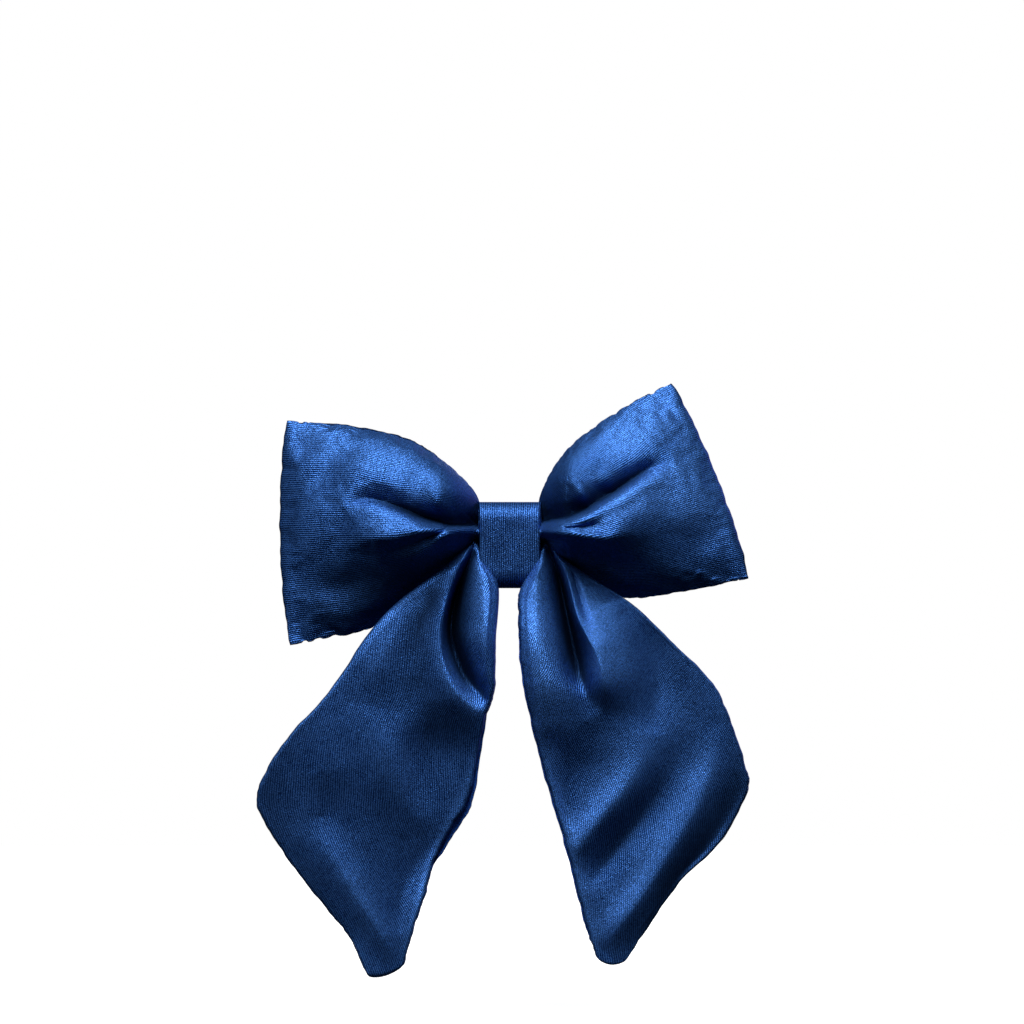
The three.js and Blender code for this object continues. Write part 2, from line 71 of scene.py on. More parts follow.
# ---------------------------------------------------------------------------------------------
# Loops. Each is a pocket of ribbed stretch velvet: a front and a back panel sewn together inside
# out and turned, stuffed with fibre, and gathered at the knot. Ribs run from the knot outwards.
# ---------------------------------------------------------------------------------------------
MM = 0.001
RIB_PITCH = 0.76 * MM
STITCH_PITCH = 0.62 * MM
RIB_WANDER = 0.9 * MM
PILE_SCALE = 3000.0
BRUSHED_SCALE = 90.0
CLOTH_SHEEN = (0.04, 0.13, 0.36, 1)
VELVET_DARK = (0.002, 0.020, 0.105, 1)
VELVET_LIGHT = (0.052, 0.162, 0.490, 1)
SEAM_Y = -16 * MM
CLOTH_THICK = 0.6 * MM


class Socket:
    """A shader value that can be added up, multiplied and fed to other nodes."""

    def __init__(self, tree, out=None):
        self.tree = tree
        self.out = out

    def node(self, kind, settings=None, inputs=None, output=0):
        made = self.tree.nodes.new("ShaderNode" + kind)
        for name, value in (settings or {}).items():
            setattr(made, name, value)
        for name, value in (inputs or {}).items():
            if isinstance(value, Socket):
                self.tree.links.new(value.out, made.inputs[name])
            else:
                made.inputs[name].default_value = value
        return Socket(self.tree, made.outputs[output]) if made.outputs else None

    def maths(self, operation, *values):
        return self.node("Math", {"operation": operation}, dict(enumerate(values)))

    def __add__(self, other):
        return self.maths("ADD", self, other)

    def __mul__(self, other):
        return self.maths("MULTIPLY", self, other)

    def __sub__(self, other):
        return self.maths("SUBTRACT", self, other)

    def __rsub__(self, other):
        return self.maths("SUBTRACT", other, self)

    __radd__ = __add__
    __rmul__ = __mul__


def new_material(name):
    material = bpy.data.materials.new(name)
    material.use_nodes = True
    material.node_tree.nodes.clear()
    return material, Socket(material.node_tree)


def brighter(colour, times):
    return tuple(min(1.0, times * c) for c in colour[:3]) + (1,)


def noise(place, scale, detail, roughness=0.5):
    inputs = {"Vector": place, "Scale": scale, "Detail": detail, "Roughness": roughness}
    return place.node("TexNoise", inputs=inputs)


def between(first, second, share):
    """A colour that goes from the first to the second as share goes from 0 to 1."""
    return share.node("Mix", {"data_type": "RGBA"}, {"Factor": share, 6: first, 7: second}, 2)


def clamped(value):
    return value.node("Clamp", inputs={"Value": value})


def bumped(height, strength, distance):
    return height.node("Bump", inputs={"Height": height, "Strength": strength, "Distance": distance})


def ripple(turn):
    """From 0 to 1 and back, once in every 2 pi."""
    return turn.maths("SINE", turn) * 0.5 + 0.5


def weave_of(start):
    """The three numbers that every mesh's weave attribute holds."""
    weave = start.node("Attribute", {"attribute_name": "weave"}, output=1)
    return [start.node("SeparateXYZ", inputs={0: weave}, output=part) for part in range(3)]


def surfaced(material, start, inputs):
    surface = start.node("BsdfPrincipled", inputs=inputs)
    start.node("OutputMaterial", inputs={"Surface": surface})
    return material


def ribbed_cloth(name, dark, light, metallic, roughness, rib_height):
    """Ribbed cloth with painted light and shade. The mesh's weave attribute holds the cloth's own
    coordinates, across and along its ribs, and its painted light: above 0 a painted highlight, below 0
    painted shade, darker still deep in the folds."""
    material, start = new_material(name)
    across, along, painted_light = weave_of(start)
    place = start.node("TexCoord", output=3)
    pile = noise(place, PILE_SCALE, 1.0, 0.6)
    pile_mottle_and_painted_strokes = noise(place, BRUSHED_SCALE, 4.0, 0.65)
    turn = (across + pile_mottle_and_painted_strokes * RIB_WANDER) * (2 * math.pi / RIB_PITCH)
    rib = ripple(turn)
    stitch = ripple(along * (2 * math.pi / STITCH_PITCH) + turn * 0.5)
    relief = rib * 0.8 + stitch * rib * 0.3 + pile * 1.5
    # pile at rest, then a painted highlight, then painted shade, then darker painted shade deep in a fold
    colour = between(dark, light, clamped(rib * 1.3 + stitch * 0.3 + pile * 4.2 + pile_mottle_and_painted_strokes * 0.9 - 2.85))
    lit = between(brighter(light, 0.5), brighter(light, 1.7), pile * 5.0 + rib * 0.7 - 2.35)
    colour = between(colour, lit, painted_light)
    colour = between(colour, brighter(light, 0.17), clamped(painted_light * -1))
    colour = between(colour, brighter(light, 0.06), clamped(painted_light * -1.2 - 0.9))
    return surfaced(
        material,
        start,
        {
            "Base Color": colour,
            "Metallic": metallic,
            "Roughness": pile_mottle_and_painted_strokes * 0.2 + pile * 0.2 + (roughness - 0.2),
            "Normal": bumped(relief, 0.8, rib_height),
            "Specular IOR Level": 0.3,
            "Specular Tint": CLOTH_SHEEN,
        },
    )


navy_velvet = ribbed_cloth("navy_velvet", VELVET_DARK, VELVET_LIGHT, 0.85, 0.46, 0.15 * MM)


def curve(points, t):
    """A smooth curve through a few points, as numpy points at t from 0 to 1."""
    points = np.array(points, float) * MM
    padded = np.vstack([2 * points[0] - points[1], points, 2 * points[-1] - points[-2]])
    t = np.clip(np.asarray(t, float), 0, 1) * (len(points) - 1)
    i = np.minimum(t.astype(int), len(points) - 2)
    f = (t - i)[..., None]
    a, b, c, d = (padded[i + k] for k in range(4))
    return 0.5 * (2 * b + (c - a) * f + (2 * a - 5 * b + 4 * c - d) * f**2 + (3 * b - a - 3 * c + d) * f**3)


def ease(x, low, high):
    """0 below low, 1 above high, and smooth between them."""
    t = np.clip((x - low) / (high - low), 0, 1)
    return t * t * (3 - 2 * t)


def fold(x, z, path):
    """Height of a ridge, or depth of a groove, over the points x, z. Each path point is
    x, z, height, and the width on its left and on its right as one goes along the path, in mm."""
    line = curve(path, np.linspace(0, 1, 12 * (len(path) - 1) + 1))
    best = np.full(x.shape, np.inf)
    height = np.zeros(x.shape)
    for a, b in zip(line[:-1], line[1:]):
        step = b[:2] - a[:2]
        t = np.clip(((x - a[0]) * step[0] + (z - a[1]) * step[1]) / step.dot(step), 0, 1)
        away_x = x - a[0] - t * step[0]
        away_z = z - a[1] - t * step[1]
        near = np.hypot(away_x, away_z)
        left = step[0] * away_z - step[1] * away_x > 0
        here = a + t[..., None] * (b - a)
        width = np.where(left, here[..., 3], here[..., 4])
        closer = near < best
        best = np.where(closer, near, best)
        height = np.where(closer, here[..., 2] * np.exp(-((near / width) ** 1.6)), height)
    return height


def hill(x, z, centre_x, centre_z, height, reach_x, reach_z, tilt):
    """Height of a soft rise, or depth of a dent, with its long axis tilted by so many degrees. In mm."""
    c, s = math.cos(math.radians(tilt)), math.sin(math.radians(tilt))
    off_x, off_z = x / MM - centre_x, z / MM - centre_z
    a = (off_x * c + off_z * s) / reach_x
    b = (off_z * c - off_x * s) / reach_z
    return height * MM * np.exp(-(a * a) - b * b)


def mesh_from_grid(name, points, weave, material, facing_front=True):
    """A mesh from rows of points, with the cloth's coordinates stored on it."""
    rows, columns = points.shape[:2]
    at = np.arange(rows * columns).reshape(rows, columns)
    corners = [at[:-1, :-1], at[1:, :-1], at[1:, 1:], at[:-1, 1:]]
    if not facing_front:
        corners.reverse()
    faces = np.stack([c.ravel() for c in corners], axis=1)
    mesh = bpy.data.meshes.new(name)
    mesh.from_pydata(points.reshape(-1, 3).tolist(), [], faces.tolist())
    mesh.polygons.foreach_set("use_smooth", np.ones(len(faces), bool))
    stored = mesh.attributes.new("weave", "FLOAT_VECTOR", "POINT")
    stored.data.foreach_set("vector", weave.reshape(-1).astype(np.float32))
    mesh.materials.append(material)
    piece = bpy.data.objects.new(name, mesh)
    bpy.context.scene.collection.objects.link(piece)
    return piece


def thicken(piece, thickness):
    """Cloth as thick as that, behind the face that shows."""
    solid = piece.modifiers.new("thickness", "SOLIDIFY")
    solid.thickness = thickness
    solid.offset = -1
    solid.use_even_offset = False
    bpy.context.view_layer.update()
    built = bpy.context.evaluated_depsgraph_get()
    mesh = bpy.data.meshes.new_from_object(
        piece.evaluated_get(built), preserve_all_data_layers=True, depsgraph=built
    )
    mesh.name = piece.name
    piece.modifiers.clear()
    piece.data = mesh


def fold_shade_of(hills):
    """Painted shade in the valleys, from how far the cloth is down in them: 0 where it is open."""
    return 0.8 * np.clip(-hills / (7 * MM), 0, 1) ** 1.5


def painted_light_of(points, fold_shade, strokes):
    """Painted light: a painted highlight where the cloth leans back and faces up, and painted shade where it
    leans out and faces down, and in its valleys. Strokes add painted highlights, and painted shade where
    their height is below 0."""
    along, across = np.gradient(points, axis=0), np.gradient(points, axis=1)
    normal = np.cross(along, across)
    normal *= np.sign(-normal[..., 1:2] + 1e-12) / (np.linalg.norm(normal, axis=2, keepdims=True) + 1e-12)
    lean = normal[..., 2]
    pile_mottle_and_painted_strokes = sum(fold(points[..., 0], points[..., 2], path) / MM for path in strokes)
    lit = np.clip(0.5 * ease(lean, 0.1, 0.5) + np.clip(pile_mottle_and_painted_strokes, 0, 2), 0, 1) * (1 - fold_shade)
    down_facing_shade = 0.25 * ease(-lean, 0.0, 0.6) * (1 - np.clip(pile_mottle_and_painted_strokes, 0, 1))
    return lit - np.maximum(down_facing_shade, fold_shade) - np.clip(-pile_mottle_and_painted_strokes, 0, 1)


def lengths_along(points, axis):
    """Distance travelled over the surface along one grid direction, from its middle."""
    steps = np.linalg.norm(np.diff(points, axis=axis), axis=2)
    walked = np.cumsum(steps, axis=axis)
    pad = [(0, 0), (0, 0)]
    pad[axis] = (1, 0)
    walked = np.pad(walked, pad)
    middle = np.take(walked, [walked.shape[axis] // 2], axis=axis)
    return walked - middle


def puckers(t, count, seed):
    """Small uneven waves along a seam, where its thread draws the cloth in."""
    phase = 1.7 * seed
    turn = 2 * math.pi * count * t
    wave = np.sin(turn + phase) + 0.6 * np.sin(1.63 * turn + 2.1 * phase)
    return wave + 0.4 * np.sin(2.9 * turn + 0.7 * phase)


# Outlines are x, z in mm, as seen from the front; fold() reads the folds and strokes, and hill() the hills.
LOOPS = {
    "left": {
        "side": -1,
        "top": [(-10.2, 13), (-13.5, 19), (-20.4, 26), (-28, 31.5), (-37.4, 36), (-56, 39.8), (-75.8, 41.7)],
        "bottom": [(-10.2, 0.4), (-15, -5), (-24, -13), (-37.4, -23), (-50, -28.6), (-74.8, -33.5)],
        "bow": 2.4,
        "crown": 1.4,
        "folds": [
            # the deep crease under the upper lobe: wide and dark at the knot, narrow at its end
            [(-9, 6.2, -8, 1.6, 8), (-18, 6.6, -9, 1.8, 8), (-27, 8.6, -8, 1.8, 6), (-35, 12, -6, 2, 4.2),
             (-43, 15, -5, 2.2, 3.2), (-49, 15.6, -3, 2.4, 3), (-55, 13.5, 0, 3, 3)],
            # the lip below it: a slope that comes forward as it drops, sharpest near the knot
            [(-22, 4.8, 1, 1.6, 1.4), (-29, 5.2, 2.6, 2.2, 2), (-36, 3.8, 3.4, 4, 5), (-42, 3, 4.2, 5, 7),
             (-49, 3.4, 2.8, 6, 7), (-57, 5, 0, 7, 7)],
            # pleats that run into the knot
            [(-9, 4.6, 4.5, 1.6, 1.3), (-14, 5.2, 4.8, 1.6, 1.2), (-19, 4.8, 4.4, 1.8, 1.2),
             (-23, 2.8, 3.8, 2.2, 1.6), (-28, -0.8, 3.6, 2.8, 3.4), (-33, -3.4, 2.6, 3.4, 4),
             (-41, -5, 0, 4, 5)],
            [(-19, 5.6, -0.6, 0.8, 0.8), (-24, 4, -2.6, 1.2, 1), (-29, 2.2, -3.4, 2, 1.4),
             (-35, -0.4, -2.2, 2.6, 2), (-43, -3, 0, 3, 3)],
        ],
        # painted highlights, and painted shade where a stroke's height is below 0
        "pile_mottle_and_painted_strokes": [
            [(-50, 9, 0, 3, 3), (-44, 7, 0.3, 3, 4), (-38, 6, 0.2, 3, 3), (-33, 6, 0, 2, 2)],
            [(-34, -2.4, 0, 2, 2), (-30, -0.4, 0.5, 2, 2), (-26, 2, 0.4, 1.4, 1.6), (-22, 4.6, 0, 1, 1)],
            [(-60, 30, 0, 6, 6), (-58, 22, -0.2, 4, 4), (-54, 14, -0.1, 4, 4), (-50, 10, 0, 4, 4)],
            [(-76, 30, 0, 3, 3), (-77, 10, 0.12, 4, 4), (-77, -14, 0.1, 4, 4), (-75, -30, 0, 3, 3)],
            [(-74, -24, -0.1, 6, 7), (-60, -19, -0.5, 9, 10), (-46, -14, -0.6, 8, 10),
             (-34, -9, -0.6, 6, 8), (-24, -6, 0, 4, 5)],
            [(-18, 6, -0.2, 1.4, 4), (-27, 8.4, -0.6, 1.4, 4), (-33, 9.8, -0.8, 1.4, 4),
             (-39, 12.4, -0.8, 1.4, 3), (-45, 14.2, -0.7, 1.4, 2.6), (-51, 14.4, -0.3, 1.6, 2),
             (-56, 13, 0, 2, 2)],
        ],
        "hills": [
            (-31, 20, -1.8, 5, 8, -25), (-24, 14, 1.2, 5, 5, 0), (-60, 25, -1.4, 5, 13, -35),
            (-48, 27, 1.2, 9, 5, 10), (-66, 5, 1, 7, 10, 0), (-55, -13, -1.6, 9, 5, 15),
            (-66, -22, 1, 8, 6, 0), (-70, 35, -1, 6, 4, -30),
        ],
    },
    "right": {
        "side": 1,
        "top": [(10.2, 13), (11.4, 18), (14.4, 24.5), (19, 31), (25, 36.6), (37.4, 45.2), (54.9, 54.9)],
        "bottom": [(10.2, 0.4), (15, -5), (24, -13), (34, -16), (44, -17), (60, -14.6), (81, -11)],
        "bow": 2.2,
        "crown": 1.1,
        "folds": [
            # the deep hollow under the upper lobe, with its lower wall steep
            [(9, 7, -8, 5, 1.4), (15, 8.6, -11, 8, 1.4), (22, 10.6, -10, 7.5, 1.6),
             (30, 14.6, -8, 6, 1.7), (38, 19.8, -7, 5, 1.8), (45, 24.4, -5, 4, 2), (50, 27, -2, 3.4, 2.4),
             (55, 28, 0, 4, 4)],
            # the thin crest below it, which widens outwards
            [(12, 7, 2, 1, 1.4), (20, 7.6, 3, 1.1, 1.6), (28, 11.2, 3.4, 1.2, 2.4), (36, 16, 2.8, 1.4, 4),
             (43, 20, 2.2, 1.8, 6), (50, 22.6, 1.6, 2.6, 7), (60, 24, 0, 5, 9)],
            # the small pleat at the knot, and the valley between it and the crest
            [(9, 4.4, 5, 1.6, 2), (14, 4.8, 5.4, 1.6, 2.2), (20, 4.4, 4, 1.8, 2.4), (27, 3.2, 3, 2, 3),
             (34, 3, 2.6, 2.6, 4), (42, 6, 0, 4, 5)],
            [(19, 6.2, -0.8, 1, 1), (25, 6.8, -1.4, 1.2, 1.2), (31, 8, 0, 1.6, 1.6)],
        ],
        # painted highlights, and painted shade where a stroke's height is below 0
        "pile_mottle_and_painted_strokes": [
            [(22, 6, 0, 2, 2), (30, 8.4, 0.45, 2.4, 4), (40, 12, 0.5, 5, 6), (52, 17, 1, 8, 9),
             (62, 17, 1.1, 10, 10), (71, 20, 0.5, 9, 8), (78, 20, 0, 7, 7)],
            [(13, 20, 0, 4, 4), (20, 22, -0.7, 5, 6), (28, 26, -0.6, 5, 6), (38, 32, 0, 5, 5)],
            [(28, 27, 0, 5, 5), (38, 34, 0.35, 8, 8), (50, 41, 0.5, 8, 9), (60, 37, 0.45, 8, 9),
             (66, 23, 0.35, 8, 8), (71, 6, 0.3, 7, 5), (75, -6, 0, 5, 5)],
            [(20, 10, -0.2, 5, 1.4), (31, 15.4, -0.6, 5, 1.4), (39, 20.4, -0.85, 4, 1.4),
             (46, 25, -0.8, 3.4, 1.6), (52, 27.6, -0.4, 3, 2), (56, 28.4, 0, 3, 3)],
            [(26, 11.4, 0, 1, 2), (33, 15, 0.35, 1, 3), (41, 19.4, 0.5, 1, 4), (49, 23, 0.4, 1.4, 4),
             (57, 24, 0, 3, 4)],
        ],
        "hills": [
            (38, 8, 3.6, 13, 6, 22), (24, 17, 2.6, 2.6, 4, 35), (33, 21.5, 1.6, 3, 3, 30),
            (19, 22, 1, 4, 4, 0), (48, 38, 1.2, 10, 6, 45), (62, 22, 1, 7, 10, 0),
            (60, 2, -1.6, 10, 6, -10), (72, -3, 0.8, 5, 6, 0), (42, -6, -1, 8, 6, 0),
            (52, 50, -0.8, 5, 3, 60),
        ],
    },
}
LOOP_DEPTH = {"front": 26 * MM, "back": 10.2 * MM}
WAIST_DEPTH = 9 * MM
FULLEST = 0.42
EDGE_PUCKER = 0.13 * MM
SEAM_PUCKER = 0.1 * MM
GATHER_DEPTH = 0.75 * MM
SLACK_DEPTH = 0.5 * MM


def loop_panel(loop, facing, rows=190, columns=190):
    """One panel's points: u runs from the knot outwards, v from the bottom seam to the top one."""
    depth = LOOP_DEPTH[facing]
    u, v = np.meshgrid(np.linspace(0, 1, rows) ** 1.15, np.linspace(0, 1, columns), indexing="ij")
    v = 0.5 - 0.5 * np.cos(math.pi * v) * (0.35 + 0.65 * np.abs(np.cos(math.pi * v)) ** 0.3)
    v = np.clip(v, 0, 1)
    low = curve(loop["bottom"], u)
    high = curve(loop["top"], u)
    along = (high - low) / np.linalg.norm(high - low, axis=2, keepdims=True)
    drawn = EDGE_PUCKER * puckers(v, 6, 1 + loop["side"]) * ease(u, 0.92, 1)
    swell = loop["bow"] * MM * 4 * v * (1 - v) * ease(u, 0.3, 1) + drawn
    x = low[..., 0] + (high - low)[..., 0] * v + loop["side"] * along[..., 1] * swell
    z = low[..., 1] + (high - low)[..., 1] * v - loop["side"] * along[..., 0] * swell
    seam = SEAM_PUCKER * puckers(u, 8, 3 + loop["side"]) * ease(u, 0.15, 0.4)
    z += seam * (ease(v, 0.94, 1) - ease(-v, -0.06, 0))
    raised = v ** (loop["crown"] if facing == "front" else 1)
    across = np.clip(1 - np.abs(2 * raised - 1) ** 2.3, 0, 1) ** 0.72
    grown = WAIST_DEPTH + (depth - WAIST_DEPTH) * ease(u, 0, FULLEST)
    outer = np.clip(1 - np.clip((u - FULLEST) / (1 - FULLEST), 0, 1) ** 2.2, 0, 1) ** 0.72
    body = across * grown * outer
    hills = np.zeros_like(u)
    if facing == "back":
        turn = 2 * math.pi * 5.5 * v
        gathers = np.sin(turn + 1.3 * np.sin(9 * v) + loop["side"]) + 0.5 * np.sin(2 * turn)
        gathers *= (1 - ease(u, 0.1, 0.65)) * ease(u, 0, 0.08)
        slack = np.sin(11 * u + 4 * v) * np.sin(5 * v + 2 * u) * ease(u, 0.3, 0.5) * (1 - ease(u, 0.8, 1))
        body += across * outer * (GATHER_DEPTH * gathers + SLACK_DEPTH * slack)
    if facing == "front":
        pressed = 1 - 0.5 * (1 - ease(v, 0.08, 0.5)) * (1 - ease(u, 0.45, 0.8)) * ease(u, 0, 0.1)
        hills = sum(fold(x, z, path) for path in loop["folds"])
        hills += sum(hill(x, z, *dent) for dent in loop["hills"])
        body = body * pressed + hills * np.clip(body / (6 * MM), 0, 1)
    swollen = np.maximum(body, 0)
    y = SEAM_Y - swollen if facing == "front" else SEAM_Y + swollen
    return v, np.stack([x, y, z], axis=2), fold_shade_of(hills)


def loop_weave(v, points, painted_light):
    """Ribs run outwards from the knot and crowd together as they near it."""
    over = lengths_along(points, 1)
    full = np.max(over) - np.min(over)
    spread = over + (full * (v - 0.5) - over) * 0.45
    return np.stack([spread, lengths_along(points, 0), painted_light], axis=2)


def finer(offsets, rows, columns):
    """Coarse grid offsets carried smoothly to a finer grid."""
    n, m = offsets.shape[:2]
    tall = curve(offsets.reshape(n, -1) / MM, np.linspace(0, 1, rows)).reshape(rows, m, 3)
    wide = curve(tall.transpose(1, 0, 2).reshape(m, -1) / MM, np.linspace(0, 1, columns))
    return wide.reshape(columns, rows, 3).transpose(1, 0, 2)


SETTLE_FRAMES = 14
FILL_PRESSURE = 1.5
CUT_TOO_LARGE = 0.014
MOST_SETTLING = 0.9 * MM


def settled(points, facing_front):
    """Cloth pinned along its seams is cut a little too large and pushed out by the filling, so it
    wrinkles as it swells. Nothing moves further than MOST_SETTLING."""
    coarse = points[::3, ::3]
    rows, columns = coarse.shape[:2]
    cloth = mesh_from_grid("settling", coarse, np.zeros(coarse.shape), navy_velvet, facing_front)
    at = np.arange(rows * columns).reshape(rows, columns)
    sewn = np.unique(np.concatenate([at[0], at[1], at[-1], at[:, 0], at[:, -1]]))
    cloth.vertex_groups.new(name="sewn").add(sewn.tolist(), 1.0, "REPLACE")
    fabric = cloth.modifiers.new("fabric", "CLOTH")
    fabric.settings.quality = 6
    fabric.settings.mass = 0.02
    fabric.settings.tension_stiffness = fabric.settings.compression_stiffness = 12
    fabric.settings.shear_stiffness = 4
    fabric.settings.bending_stiffness = 0.4
    fabric.settings.vertex_group_mass = "sewn"
    fabric.settings.shrink_min = -CUT_TOO_LARGE
    fabric.settings.use_pressure = True
    fabric.settings.uniform_pressure_force = FILL_PRESSURE
    fabric.settings.effector_weights.gravity = 0
    fabric.collision_settings.use_collision = False
    fabric.collision_settings.use_self_collision = False
    fabric.point_cache.frame_end = SETTLE_FRAMES
    for step in range(1, SETTLE_FRAMES + 1):
        bpy.context.scene.frame_set(step)
    now = cloth.evaluated_get(bpy.context.evaluated_depsgraph_get()).data
    rested = np.empty(rows * columns * 3)
    now.vertices.foreach_get("co", rested)
    moved = rested.reshape(coarse.shape) - coarse
    bpy.data.objects.remove(cloth)
    bpy.context.scene.frame_set(1)
    far = np.linalg.norm(moved, axis=2, keepdims=True) + 1e-12
    moved *= MOST_SETTLING * np.tanh(far / MOST_SETTLING) / far
    return points + finer(moved, *points.shape[:2])


for side, loop in LOOPS.items():
    for facing in ("front", "back"):
        v, points, fold_shade = loop_panel(loop, facing)
        painted_light = painted_light_of(points, fold_shade, loop["pile_mottle_and_painted_strokes"] if facing == "front" else ())
        looks_right = (facing == "front") == (loop["side"] < 0)
        points = settled(points, looks_right)
        name = f"{side}_loop_{facing}"
        piece = mesh_from_grid(name, points, loop_weave(v, points, painted_light), navy_velvet, looks_right)
        thicken(piece, CLOTH_THICK)
        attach(piece, "bow")
        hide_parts(f"{side}_loop_{facing}_panel")

# ---------------------------------------------------------------------------------------------
# Filling. Loose white polyester fibre is pushed into each loop through its gathered end. It isn't
# seen, and follows the panels inside.
# ---------------------------------------------------------------------------------------------
FIBRE_GAP = 1.6 * MM


def fibre(name, shade, deep):
    material, start = new_material(name)
    tuft = noise(start.node("TexCoord", output=3), 400.0, 5.0, 0.7)
    colour = between(deep, shade, tuft)
    bump = bumped(tuft, 0.9, 0.8 * MM)
    return surfaced(material, start, {"Base Color": colour, "Roughness": 0.95, "Normal": bump})


white_fibre = fibre("white_fibre", (0.85, 0.85, 0.83, 1), (0.62, 0.62, 0.60, 1))
for side, loop in LOOPS.items():
    halves = []
    for facing in ("front", "back"):
        v, points, _ = loop_panel(loop, facing, 50, 44)
        from_seam = points[..., 1] - SEAM_Y
        points[..., 1] -= np.sign(from_seam) * np.minimum(FIBRE_GAP, np.abs(from_seam))
        points[..., 2] += FIBRE_GAP * (1 - 2 * v)
        halves.append(points[:-2])
    ring = np.concatenate([halves[0], halves[1][:, ::-1]], axis=1)
    name = f"{side}_loop_fibre"
    stuffing = mesh_from_grid(name, ring, np.zeros(ring.shape), white_fibre, loop["side"] < 0)
    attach(stuffing, "bow")
    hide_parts(f"{side}_loop_filling")

# ---------------------------------------------------------------------------------------------
# Loop seams. The two panels' allowances are rolled to the back when the loop is turned, so an
# edge of the back panel shows along the left loop's top and the right loop's bottom. The left one
# is near-black, painted shadow along the seam; the right one is the navy velvet.
# ---------------------------------------------------------------------------------------------
# near-black seam colours, painted shadow along the left loop's top
SEAM_SHADOW_DARK = (0.002, 0.007, 0.026, 1)
SEAM_SHADOW_LIGHT = (0.006, 0.022, 0.075, 1)
SEAM_BEHIND = 1.5 * MM
SEAM_THIN = 0.25 * MM
SEAM_FULL = 1.0 * MM
SEAM_TAPER = 0.12
seam_shadow_velvet = ribbed_cloth("seam_shadow_velvet", SEAM_SHADOW_DARK, SEAM_SHADOW_LIGHT, 0.3, 0.7, 0.12 * MM)


def rolled_seam(name, line, out, radius, material):
    """A soft cord of cloth along a seam. Line gives its middle, out the way it stands off from the
    loop, and radius its size."""
    around = np.linspace(0, 2 * math.pi, 13)
    ring = np.cos(around)[:, None] * out + np.sin(around)[:, None] * np.array([0, 1, 0])
    points = line[:, None] + radius[:, None, None] * ring
    weave = np.stack([points[..., 0] * 0.5, points[..., 2], np.zeros(points.shape[:2])], axis=2)
    piece = mesh_from_grid(name, points, weave, material, out[2] > 0)
    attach(piece, "bow")


for side, edge_name, start_u, end_u, material in (
    ("left", "top", 0.36, 0.97, seam_shadow_velvet),
    ("right", "bottom", 0.4, 0.999, navy_velvet),
):
    along = np.linspace(start_u, end_u, 150)
    upwards = 1 if edge_name == "top" else -1
    flat_line = curve(LOOPS[side][edge_name], along)
    lift = ease(along, start_u, start_u + SEAM_TAPER) * (1 - ease(along, end_u - SEAM_TAPER, end_u))
    wave = SEAM_PUCKER * (puckers(along, 13, 5) + 1) * lift
    z = flat_line[:, 1] + upwards * wave
    line = np.stack([flat_line[:, 0], np.full_like(along, SEAM_Y + SEAM_BEHIND), z], axis=1)
    radius = SEAM_THIN + (SEAM_FULL - SEAM_THIN) * lift
    rolled_seam(f"{side}_loop_seam", line, np.array([0, 0, float(upwards)]), radius, material)

# ---------------------------------------------------------------------------------------------
# Tails. Each is a velvet blade lined with royal-blue satin, cut to a slanting point, pleated
# where it leaves the knot and hanging free below.
# ---------------------------------------------------------------------------------------------
LINING_DARK = (0.007, 0.028, 0.170, 1)
LINING_LIGHT = (0.022, 0.090, 0.430, 1)
royal_lining = ribbed_cloth("royal_lining", LINING_DARK, LINING_LIGHT, 0.35, 0.38, 0.05 * MM)
TAIL_LENGTH = 150 * MM
TAIL_ROWS = 260
TAIL_COLUMNS = 150
PANEL_ROUNDING = {"front": 2.2 * MM, "back": 0.7 * MM}
LINING_BEHIND = 1.0 * MM
LINING_PLEAT = 0.3 * MM
LINING_SLACK = 0.45 * MM
EDGE_ROLL = 1.4 * MM
HEM_PUCKER = 0.12 * MM
WEAVE_SLANT = 0.30

